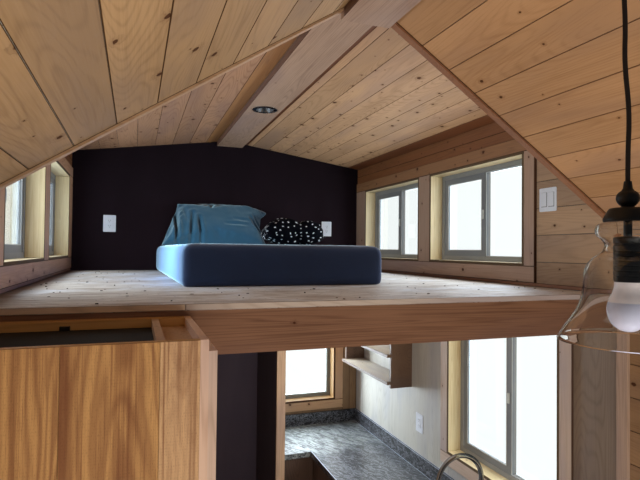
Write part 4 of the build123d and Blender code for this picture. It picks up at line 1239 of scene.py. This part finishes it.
class LOFT_OT_windows(bpy.types.Operator):
    """Casings, liners, sashes and panes of the windows"""

    bl_idname = "loft.windows"
    bl_label = "Windows"

    def execute(self, context):
        outer = (LOFT_WINDOWS[0][0] - CASING_WIDTH, LOFT_CASING_FOOT, BACK_EDGE, LOFT_CASING_HEAD)
        for side, name in SIDES:
            # On the right the head board takes its own darker wood: painted shade under the roof.
            finish, head = ("casing pine", "casing head painted shade") if side > 0 else ("left casing pine", None)
            title, solid = f"loft_casing_boards_{name}", f"{name}_loft_casing"
            casing(title, side, LOFT_WINDOWS, outer, finish, solid, 61 + side, head)
            liners(f"loft_liners_{name}", side, LOFT_WINDOWS, "liner pine", drawn_seeds(71 + side))
            self.beads(f"window_beads_{name}", side, LOFT_WINDOWS + ((TALL_WINDOW,) if side > 0 else ()))
        for name, side, window, top, finish, liner, seed, seeds in (
            ("tall", 1, TALL_WINDOW, 2.230, "kitchen casing pine", "liner pine", 81, drawn_seeds(83)),
            ("end", 0, END_WINDOW, UNDER_LOFT, "end casing pine", "end liner pine", 85, iter(range(91, 95))),
        ):
            u0, v0, u1, _ = window
            outer = (u0 - CASING_WIDTH, v0 - CASING_WIDTH, u1 + CASING_WIDTH, top)
            casing(f"{name}_casing_boards", side, (window,), outer, finish, f"{name}_window_casing", seed)
            liners(f"{name}_liners", side, (window,), liner, seeds)
        vinyl = paint("window vinyl", "8b8b88", "7e7e7b", "979794", 0.35)
        coat(vinyl, "left_window_frames", "right_window_frames")
        coat(paint("end window vinyl", "6a6861", "605e58", "74726b", 0.4), "end_window_frame")
        sash = paint("sash vinyl", "7b7d7f", "727476", "888a8c", 0.32)
        coat(sash, "left_window_sashes", "right_window_sashes")
        panes = ("left_window_glass", "right_window_glass", "end_window_glass")
        coat(glass("window pane", "f4fbfa"), *panes)
        return {"FINISHED"}

    def beads(self, name, side, windows):
        """Pale glazing beads round the panes and a latch on each meeting stile."""
        face = Boards((side * (HALF_IN + 0.0795), 0, 0), Y, Z, (-side, 0, 0), 75)
        wide, frame_face, sash, stile = 0.004, 0.042, 0.036, 0.017
        for u0, v0, u1, v1 in windows:
            u, v = (u0 + u1) / 2, (v0 + v1) / 2
            near = (u0 + frame_face, v0 + frame_face, u - stile, v1 - frame_face)
            far = (u + stile, v0 + frame_face + sash, u1 - frame_face - sash, v1 - frame_face - sash)
            for (a, b, c, d), start in ((near, -0.006), (far, 0.0)):
                level = ((a, b, c, b + wide), (a, d - wide, c, d))
                for bead in level + ((a, b, a + wide, d), (c - wide, b, c, d)):
                    face.lay(rectangle(*bead), 0.0015, start, 0.0005, 0.5)
            face.lay(rectangle(u - 0.006, v - 0.028, u + 0.008, v + 0.028), 0.009, 0.0, 0.002, 0.5)
        face.piece(name, "window_vinyl", paint("bead white", "c9cbc6", "bcbeb9", "d2d4cf", 0.3))


class LOFT_OT_kitchen(bpy.types.Operator):
    """Counter, cabinets, sink, faucet and shelves"""

    bl_idname = "loft.kitchen"
    bl_label = "Kitchen"

    def execute(self, context):
        # The laminate's Reflection colour is a painted reflection of the end window.
        values = {**colours(Dark="08090b", Brown="1f2022", Vein="7c7d86", Film="d3dcd6"), "Gloss": 0.32}
        shine = {"Coat_Weight": 0.75, "Coat_Roughness": 0.22, "Specular_IOR_Level": 0.3}
        coat(material("counter laminate", marbled(), values, bump=0.02, **shine), "countertop", "backsplash")
        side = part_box("countertop")
        # Thin pale strips along the counter's inner edge and the backsplash's top and foot: painted
        # highlights where the laminate's edges catch the light.
        edges = level_face(0, 88)
        splash = HALF_IN - 0.025
        inner = 0.547
        front = rectangle(side[0][1] + 0.01, inner + 0.001, 2.030, inner + 0.0065)
        edges.lay(front, 0.0012, COUNTER, 0.0004, 0.5)
        for x in (splash + 0.0006, splash + 0.0165):
            edges.lay(rectangle(0.25, x, BACK - 0.03, x + 0.0022), 0.0006, COUNTER + 0.100, 0.0002, 0.5)
        foot = rectangle(0.25, splash - 0.0026, BACK - 0.03, splash - 0.0004)
        edges.lay(foot, 0.0008, COUNTER, 0.0002, 0.5)
        pale = paint("painted edge highlight", "aab6cb", "9aa6bb", "bcc6d6", 0.25)
        edges.piece("counter_edge_highlights", "counter_laminate", pale)
        coat(wood("cabinet dark", "ZXY"), "base_cabinets")
        coat(metal("brushed steel", "d4d2ce", "9a9896", 0.36), "sink")
        coat(metal("polished steel", "b9bcc0", "8d9094", 0.07, (8.0, 8.0, 8.0), bump=0.0), "faucet")
        coat(wood("shelf pine", "YXZ"), "kitchen_shelf")
        # Pale skins on the shelves' tops, paler than the shelves: painted light falling on them from above.
        low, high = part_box("kitchen_shelf")
        tops = level_face(0, 87)
        for z in (DECK - 0.750, DECK - 0.560):
            area = rectangle(low[1] + 0.020, low[0] + 0.001, high[1] - 0.020, HALF_IN - 0.004)
            tops.lay(area, 0.0008, z, 0.0003)
        tops.piece("shelf_tops_painted_light", "pine", wood("shelf top pine painted light"))
        return {"FINISHED"}


class LOFT_OT_closet(bpy.types.Operator):
    """The closet in the front room's left corner"""

    bl_idname = "loft.closet"
    bl_label = "Closet"

    def execute(self, context):
        low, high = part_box("closet_front")
        front = Boards((0, low[1], 0), Z, X, TO_FRONT, 55)
        seams = [low[0] + 0.0005, -1.048, -0.850, -0.652, high[0]]
        for a, b, tone in zip(seams, seams[1:], (0.23, 0.61, 0.42, 0.95)):
            board = rectangle(low[2], a + 0.0003, high[2] - 0.0005, b - 0.0003)
            front.lay(board, 0.0014, bevel=0.0005, tone=tone)
        front.piece("closet_front_boards", "veneer", veneer())
        coat(wood("rail pine", "ZXY"), "closet_front")
        rail = front_face(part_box("closet_rail")[0][1], 57)
        rail.lay(rectangle(-0.898, 2.331, -0.872, 2.342), 0.012, bevel=0.0015)
        rail.piece("rail_catch", "black_metal", metal("catch black", "1c1a19", "0f0e0e", 0.4, metallic=0.3))
        coat(wood("closet side pine", "ZYX"), "closet_side")
        coat(wood("closet strip pine", "ZYX"), "closet_strip")
        coat(wood("rail pine", "XZY"), "closet_rail")
        coat(wood("trim pine", "ZYX"), "closet_divider")
        coat(paint("dark panel", "1f1c19", "26221e", "2e2a25", 0.85), "closet_shelf")
        return {"FINISHED"}


class LOFT_OT_plates(bpy.types.Operator):
    """Switch and outlet plates"""

    bl_idname = "loft.plates"
    bl_label = "Wall plates"

    def execute(self, context):
        white = paint("plate white", "dfe3ea", "d3d7df", "c8ccd3", 0.25)
        coat(white, "wall_plates")
        # The dark blocks are painted shade: the gap round each rocker and the slots and pin holes of the
        # sockets.
        raised, dark = [], []
        thick = 0.006

        def end(x, z):
            return Boards((x, BACK, z), X, Z, TO_FRONT, 3)

        def right(y, z):
            return Boards((HALF_IN, y, z), Y, Z, (-1, 0, 0), 4)

        def block(face, u, v, width, height, rise, into=raised, start=thick):
            outline = rectangle(u - width / 2, v - height / 2, u + width / 2, v + height / 2)
            face.lay(outline, rise, start, min(0.001, rise * 0.6), 0.5)
            into.append(face)

        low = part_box("wall_plates")[0]
        outlet_z, switch_y, switch_z = DECK + 0.355, low[1] + 0.054, DECK + 0.424
        for u in (-0.023, 0.023):
            block(right(switch_y, switch_z), u, 0, 0.036, 0.070, 0.0012, dark)
            block(right(switch_y, switch_z), u, 0.001, 0.033, 0.067, 0.0035)
            for v in (-0.048, 0.048):
                block(right(switch_y, switch_z), u, v, 0.006, 0.006, 0.0012)
        kitchen_y = TALL_WINDOW[2] + CASING_WIDTH + 0.275
        over_counter = (right, kitchen_y, COUNTER + 0.310)
        for face, a, b in ((end, -0.891, outlet_z), (end, 0.864, outlet_z), over_counter):
            for v in (-0.0195, 0.0195):
                block(face(a, b), 0, v, 0.034, 0.028, 0.0022)
                for u in (-0.0065, 0.0065):
                    block(face(a, b), u, v + 0.003, 0.0022, 0.009, 0.0006, dark, thick + 0.0020)
                block(face(a, b), 0, v - 0.008, 0.0045, 0.0045, 0.0006, dark, thick + 0.0020)
            block(face(a, b), 0, 0, 0.005, 0.005, 0.0012)
        joined_boards(raised).piece("switches_and_sockets", "white_plastic", white)
        slots = paint("painted slot shade", "55585e", "4a4d52", "606369", 0.5)
        joined_boards(dark).piece("socket_slot_shade", "white_plastic", slots)
        return {"FINISHED"}


def cloth_piece(name, points, faces, cut):
    """A soft piece; cut is each point's place on the cloth as it was cut."""
    mesh = bpy.data.meshes.new(name)
    mesh.from_pydata([tuple(p) for p in points], [], faces)
    flat = [c for place in cut for c in place]
    mesh.attributes.new("cut", "FLOAT_VECTOR", "POINT").data.foreach_set("vector", flat)
    mesh.update()
    obj = bpy.data.objects.new(name, mesh)
    bpy.context.scene.collection.objects.link(obj)
    return obj


def swell(obj, pressure, most, stiffness=15.0, bending=0.5, frames=20):
    """Puffs a closed cloth up from inside; no point moves further than most."""
    scene = bpy.context.scene
    before = [v.co.copy() for v in obj.data.vertices]
    puff = obj.modifiers.new("puff", "CLOTH")
    puff.settings.quality = 5
    puff.settings.mass = 0.3
    puff.settings.tension_stiffness = puff.settings.compression_stiffness = stiffness
    puff.settings.shear_stiffness = stiffness / 2
    puff.settings.bending_stiffness = bending
    puff.settings.use_pressure = True
    puff.settings.uniform_pressure_force = pressure
    puff.settings.effector_weights.gravity = 0.0
    puff.point_cache.frame_start, puff.point_cache.frame_end = 1, frames
    for step in range(1, frames + 1):
        scene.frame_set(step)
    shaped = obj.evaluated_get(bpy.context.evaluated_depsgraph_get()).to_mesh()
    after = [v.co.copy() for v in shaped.vertices]
    obj.modifiers.remove(puff)
    for vertex, old, new in zip(obj.data.vertices, before, after):
        move = new - old
        vertex.co = old + move * min(1.0, most / max(move.length, 1e-9))
    scene.frame_set(1)


def finer(obj, levels=1):
    """One round of subdivision, applied."""
    finish = obj.modifiers.new("finer", "SUBSURF")
    finish.levels = finish.render_levels = levels
    mesh = bpy.data.meshes.new_from_object(obj.evaluated_get(bpy.context.evaluated_depsgraph_get()))
    obj.modifiers.remove(finish)
    mesh.name = obj.name
    obj.data = mesh
    return smooth(obj, 80)


def crease(point, line, width, depth):
    """How far a fold pulls the cloth in: a groove along the line with a soft ridge on each side."""
    a, b = Vector(line[:2]), Vector(line[2:])
    along = b - a
    t = min(1.0, max(0.0, (point - a).dot(along) / along.length_squared))
    away = (point - a - along * t).length / width
    fade = math.sin(math.pi * min(1.0, max(0.0, 0.12 + 0.76 * t)))
    return depth * fade * (math.exp(-away * away) - 0.45 * math.exp(-((away - 1.9) ** 2)))


class LOFT_OT_bed(bpy.types.Operator):
    """Mattress, long pillow and dotted cushion"""

    bl_idname = "loft.bed"
    bl_label = "Bed"

    def execute(self, context):
        settings = context.scene.loft_bed
        self.mattress(settings.corner)
        self.pillow(settings.pillow_fill)
        self.cushion()
        return {"FINISHED"}

    def mattress(self, corner):
        """A foam mattress in a stretched cover: soft upper edges, the lower ones pressed flat."""
        low, high = (Vector(p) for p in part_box("mattress"))
        puff = 0.004
        low, high = low + Vector((puff, puff, 0)), high - Vector((-0.002, puff, puff))
        cell = 0.024
        counts = [max(4, round((h - l) / cell)) for l, h in zip(low, high)]
        numbers, points, cut, faces = {}, [], [], []
        margin, upper, lower = corner, 0.058, 0.010

        def point(i, j, k):
            key = (i, j, k)
            if key not in numbers:
                p = Vector([l + (h - l) * n / c for l, h, n, c in zip(low, high, key, counts)])
                reach = upper if p.z > (low.z + high.z) / 2 else lower
                inner = Vector((
                    min(max(p.x, low.x + margin), high.x - margin),
                    min(max(p.y, low.y + margin), high.y - margin),
                    min(max(p.z, low.z + lower), high.z - upper),
                ))  # fmt: skip
                d = p - inner
                d = Vector((d.x / margin, d.y / margin, d.z / reach))
                if d.length > 1e-6:
                    d = d / d.length
                    p = inner + Vector((d.x * margin, d.y * margin, d.z * reach))
                numbers[key] = len(points)
                points.append(p)
                cut.append((p.x + p.z, p.y + p.z, p.z))
            return numbers[key]

        for axis in range(3):
            u, v = [a for a in range(3) if a != axis]
            for end in (0, counts[axis]):
                for i in range(counts[u]):
                    for j in range(counts[v]):
                        corners = []
                        for a, b in ((0, 0), (1, 0), (1, 1), (0, 1)):
                            key = [0, 0, 0]
                            key[axis], key[u], key[v] = end, i + a, j + b
                            corners.append(point(*key))
                        outward = (end > 0) == (axis != 1)
                        faces.append(tuple(corners) if outward else tuple(reversed(corners)))
        obj = cloth_piece("mattress_cover", points, faces, cut)
        swell(obj, 3.0, puff, 25.0, 2.0, 12)
        turn = math.radians(1.1)
        for vertex in obj.data.vertices:
            x, y, z = vertex.co
            x = x + 0.022 * (x - low.x) / (high.x - low.x) - (y - low.y) * math.sin(turn)
            vertex.co = Vector((x, y, max(z, low.z)))
        finer(obj)
        bpy.data.collections["bedding"].objects.link(obj)
        finish = cloth("mattress cloth", "273758", "3a517c", "30446c")
        hand_over(obj, "mattress_cloth", finish, ("mattress",))

    def pillow(self, fill):
        """A long pillow in a loose case, leaning on the end wall."""
        low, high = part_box("pillow")
        across, rise = 76, 46
        numbers, points, cut, faces = {}, [], [], []
        stops = ((0.0, 0.424), (0.45, 0.402), (0.68, 0.420), (0.86, 0.452), (0.90, 0.450), (1.0, 0.352))

        def left(t):
            return -0.452 + 0.150 * t

        def right(t):
            for (a, p), (b, q) in zip(stops, stops[1:]):
                if t <= b:
                    return p + (q - p) * (t - a) / (b - a)
            return stops[-1][1]

        folds = (
            ((-0.285, 0.19, -0.285, -0.20), 0.012, 0.046), ((-0.345, 0.08, -0.400, -0.17), 0.012, 0.020),
            ((-0.165, 0.06, -0.188, -0.22), 0.013, 0.026), ((-0.118, 0.02, -0.104, -0.22), 0.011, 0.024),
            ((-0.030, 0.20, -0.022, 0.12), 0.008, 0.012), ((-0.004, 0.19, -0.018, 0.12), 0.007, 0.010),
            ((0.075, -0.035, 0.240, -0.042), 0.009, 0.011), ((0.140, 0.010, 0.270, -0.002), 0.010, 0.008),
            ((0.275, 0.040, 0.362, -0.110), 0.012, 0.018), ((0.300, 0.062, 0.370, -0.050), 0.010, 0.013),
            ((-0.235, 0.15, -0.205, -0.02), 0.014, 0.010), ((0.17, 0.205, 0.33, 0.15), 0.012, 0.010),
        )
        for side in (1, -1):
            for i in range(across + 1):
                for j in range(rise + 1):
                    s, t = i / across, j / rise
                    edge = i in (0, across) or j in (0, rise)
                    if edge and side < 0:
                        continue
                    u = left(t) + (right(t) - left(t)) * s
                    v = -0.232 + 0.464 * t + 0.034 * math.sin(math.pi * s) * max(0.0, 2 * t - 1)
                    crown = (1 - abs(2 * s - 1) ** 3.2) * (1 - abs(2 * t - 1) ** 3.2)
                    numbers[side, i, j] = len(points)
                    points.append(Vector((u, v, side * 0.030 * crown)))
                    cut.append((u + (side < 0), v, 0.0))

        def number(side, i, j):
            edge = i in (0, across) or j in (0, rise)
            return numbers[1 if edge else side, i, j]

        for side in (1, -1):
            for i in range(across):
                for j in range(rise):
                    ring = [number(side, a, b) for a, b in ((i, j), (i + 1, j), (i + 1, j + 1), (i, j + 1))]
                    faces.append(tuple(ring if side > 0 else reversed(ring)))
        obj = cloth_piece("long_pillow", points, faces, cut)
        swell(obj, 6.0 * fill / 0.55, 0.045, 40.0, 0.05, 22)
        lean = math.radians(36)
        middle = Vector(((low[0] + high[0]) / 2, 0, 0))
        wave = Vector((3.1, 7.7, 0.4))
        for vertex in obj.data.vertices:
            u, v, w = vertex.co
            flat = Vector((u, v))
            pull = sum(crease(flat, line, width, depth) for line, width, depth in folds) if w > 0 else 0.0
            ripple = 0.006 * noise.noise(Vector((u * 9, v * 9, 0)) + wave)
            ripple += 0.0025 * noise.noise(Vector((u * 26, v * 26, 5)))
            w = w * 1.05 - pull + (ripple if abs(w) > 0.004 else 0)
            up = v * math.cos(lean) + w * math.sin(lean)
            forward = -v * math.sin(lean) + w * math.cos(lean)
            vertex.co = Vector((middle.x + u, 2.412 - forward, 2.743 + up))
        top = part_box("mattress")[1][2]
        for vertex in obj.data.vertices:
            over = vertex.co.z - top
            vertex.co.z = max(vertex.co.z, top + 0.001 + 0.25 * max(0.0, over) * (vertex.co.z < top + 0.01))
            vertex.co.y = min(vertex.co.y, BACK - 0.004)
        finer(obj)
        bpy.data.collections["bedding"].objects.link(obj)
        finish = cloth("pillow cloth", "132b39", "1e3847", "1a3141")
        hand_over(obj, "pillow_cloth", finish, ("pillow",))

    def cushion(self):
        """A slack cushion with two lobes."""
        (x0, y0, z0), (x1, y1, z1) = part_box("dotted_cushion")
        along, around = 44, 60
        points, faces, cut = [], [], []
        chance = Vector((1.7, 4.2, 9.1))
        for i in range(along + 1):
            s = i / along
            end = math.sin(math.pi * s) ** 0.27 if 0 < i < along else 0.0
            waist = 1 - 0.27 * math.exp(-(((s - 0.56) / 0.075) ** 2))
            lean = 0.10 * math.sin(2.6 * s + 0.4)
            for j in range(around):
                turn = math.tau * j / around
                c, n = math.cos(turn), math.sin(turn)
                depth = 0.5 * (y1 - y0 - 0.03) * math.copysign(abs(c) ** 0.8, c) * end
                height = 0.5 * (z1 - z0 - 0.012) * math.copysign(abs(n) ** 0.85, n) * end * waist
                x = x0 + 0.008 + (x1 - x0 - 0.016) * s
                y = (y0 + y1) / 2 + depth + 0.02 * lean
                points.append(Vector((x, y, (z0 + z1) / 2 - 0.004 + height * (1 + 0.4 * lean))))
                cut.append((x, 0.42 * j / around * 1.6, 0.0))
        for i in range(along):
            for j in range(around):
                k = (j + 1) % around
                faces.append((i * around + j, i * around + k, (i + 1) * around + k, (i + 1) * around + j))
        obj = cloth_piece("dotted_cushion_cover", points, faces, cut)
        mesh_tidy(obj.data)
        swell(obj, 3.0, 0.006, 20.0, 0.2, 16)
        middle = Vector(((x0 + x1) / 2, (y0 + y1) / 2, (z0 + z1) / 2))
        for vertex in obj.data.vertices:
            p = vertex.co.copy()
            lump = 0.022 * noise.noise(p * 10 + chance) + 0.010 * noise.noise(p * 26 + chance)
            out = (p - middle).normalized()
            p += out * lump
            p.z = min(max(p.z, z0 + 0.0005), z1 + 0.004)
            p.x = min(max(p.x, x0 - 0.004), x1 + 0.004)
            vertex.co = p
        finer(obj)
        finish = cloth("dotted cloth", "07080e", "0b0d15", "090b12", 1.0, 0.0, 0.04)
        hand_over(obj, "dotted_cloth", finish, ("dotted_cushion",))


class LOFT_OT_lamp(bpy.types.Operator):
    """Cap, socket, clear shade and frosted bulb of the hanging lamp"""

    bl_idname = "loft.lamp"
    bl_label = "Hanging lamp"

    def execute(self, context):
        black = metal("lamp black", "110f10", "0a090a", 0.36, metallic=0.1)
        coat(black, "pendant_canopy")
        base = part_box("pendant_shade")[1][2]

        def turned(name, slot_name, finish, outline, replaced=(), steps=72, closed=False):
            rings = [(r / 1000, base + z / 1000) for r, z in outline]
            return hand_over(spun(name, rings, 0, LAMP_Y, steps, closed), slot_name, finish, replaced)

        cap = [
            (0, 0), (33, 0), (34.3, 1.5), (34.3, 4), (32.5, 8), (27, 18), (25, 20.3), (22, 21), (10, 21.5),
            (9, 23.5), (12.5, 26.5), (15.4, 31), (16.4, 36), (15.4, 41), (12.5, 45), (8.8, 47.3), (8.2, 49),
            (6.8, 50.5), (5.4, 61.8), (0, 61.8),
        ]  # fmt: skip
        turned("lamp_cap", "black_metal", black, cap, ("pendant_cap",))
        socket = [
            (0, -0.2), (6, -0.2), (6, -21), (15, -22), (19, -23.5), (20, -26), (20, -33), (18.9, -34),
            (18.9, -36), (20, -37),
        ]  # fmt: skip
        for ring in range(6):
            z = -44 - 7.5 * ring
            socket += [(20, z), (19.3, z - 0.8), (19.3, z - 1.8), (20, z - 2.6)]
        socket += [(20, -89), (19, -91.8), (0, -91.8)]
        gloss = metal("socket black", "100e0e", "080707", 0.24, metallic=0.1)
        turned("lamp_socket", "black_metal", gloss, list(reversed(socket)))
        bulb = [
            (18.6, -92.2), (18.8, -97), (19.4, -102), (21.6, -109), (25.2, -117), (28, -126), (29, -135),
            (28.2, -143), (25.2, -152), (19.5, -160), (12, -165.5), (5, -167.6), (0, -168),
        ]  # fmt: skip
        round_bulb = curved(bulb, 3)
        lower = [p for p in round_bulb if p[1] < -120]
        neck = [(0, -92.2)] + [p for p in round_bulb if p[1] > -124]
        blue, rosy = ("cfd3ec", "c6c9e4", "bcbedb"), ("ece2e2", "e2d8d6", "d6ccc9")
        # The bulb gives no light; the neck's faint emission is a painted glow that brightens it.
        for name, zone, tints, painted_glow, replaced in (
            ("lamp_bulb", lower, blue, (0.0, 0.0, 0.0, 1.0), ("pendant_bulb",)),
            ("lamp_bulb_neck", neck, rosy, (0.09, 0.085, 0.09, 1.0), ()),
        ):
            values = {**colours(Paint=tints[0], Faded=tints[1], Dust=tints[2]), "Matt": 0.12}
            shine = {"Coat_Weight": 0.5, "Emission_Color": painted_glow, "Emission_Strength": 1.0}
            frost = material(name.replace("_", " ") + " frost", rolled_paint(), values, bump=0.0, **shine)
            turned(name, "bulb_glass", frost, zone, replaced, 64)
        bell = [
            (31, 0), (38, -2), (43.5, -7), (45, -14), (43, -21), (37, -27), (32.5, -33), (31.8, -38),
            (34.5, -45), (40, -50), (47.5, -55.5), (54.5, -63), (58.6, -71), (61, -80), (62.2, -92),
            (63.2, -108), (66, -122), (71, -135), (77, -146), (84, -156.5), (92, -168.5), (99, -182),
        ]  # fmt: skip
        outer = curved(bell, 3)
        inner = [(r - 2.6, z) for r, z in reversed(outer[1:-1])]
        rim = [(98.6, -183.4), (97.2, -183.8), (96.2, -182.6)]
        whole, clear = outer + rim + inner, glass("shade glass", "fdfcfa")
        turned("lamp_shade", "shade_glass", clear, whole, ("pendant_shade",), 96, True)
        return {"FINISHED"}


STEPS = (
    ("stage", LOFT_OT_stage), ("cord", LOFT_OT_cord), ("ceilings", LOFT_OT_ceilings),
    ("walls", LOFT_OT_walls), ("floors", LOFT_OT_floors), ("outside", LOFT_OT_outside),
    ("windows", LOFT_OT_windows), ("kitchen", LOFT_OT_kitchen), ("closet", LOFT_OT_closet),
    ("plates", LOFT_OT_plates), ("bed", LOFT_OT_bed), ("lamp", LOFT_OT_lamp),
)  # fmt: skip
GROUPS = {"loft_boards": LoftBoards, "loft_finish": LoftFinish, "loft_bed": LoftBed, "loft_stage": LoftStage}


class LOFT_PT_house(bpy.types.Panel):
    """Steps and sizes of the house"""

    bl_idname = "LOFT_PT_house"
    bl_label = "Loft house"
    bl_space_type = "VIEW_3D"
    bl_region_type = "UI"
    bl_category = "Loft house"

    def draw(self, context):
        for key, group in GROUPS.items():
            box = self.layout.box()
            for prop in group.__annotations__:
                box.prop(getattr(context.scene, key), prop)
        for _, step in STEPS:
            self.layout.operator(step.bl_idname)


CLASSES = tuple(GROUPS.values()) + tuple(step for _, step in STEPS) + (LOFT_PT_house,)


def register():
    for item in CLASSES:
        bpy.utils.register_class(item)
    for key, group in GROUPS.items():
        setattr(bpy.types.Scene, key, bpy.props.PointerProperty(type=group))


def unregister():
    for key in GROUPS:
        delattr(bpy.types.Scene, key)
    for item in reversed(CLASSES):
        bpy.utils.unregister_class(item)


def main():
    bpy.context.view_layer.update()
    register()
    for name, _ in STEPS:
        if getattr(bpy.ops.loft, name)() != {"FINISHED"}:
            raise RuntimeError(f"the step {name} did not finish")


if __name__ == "__main__":
    main()
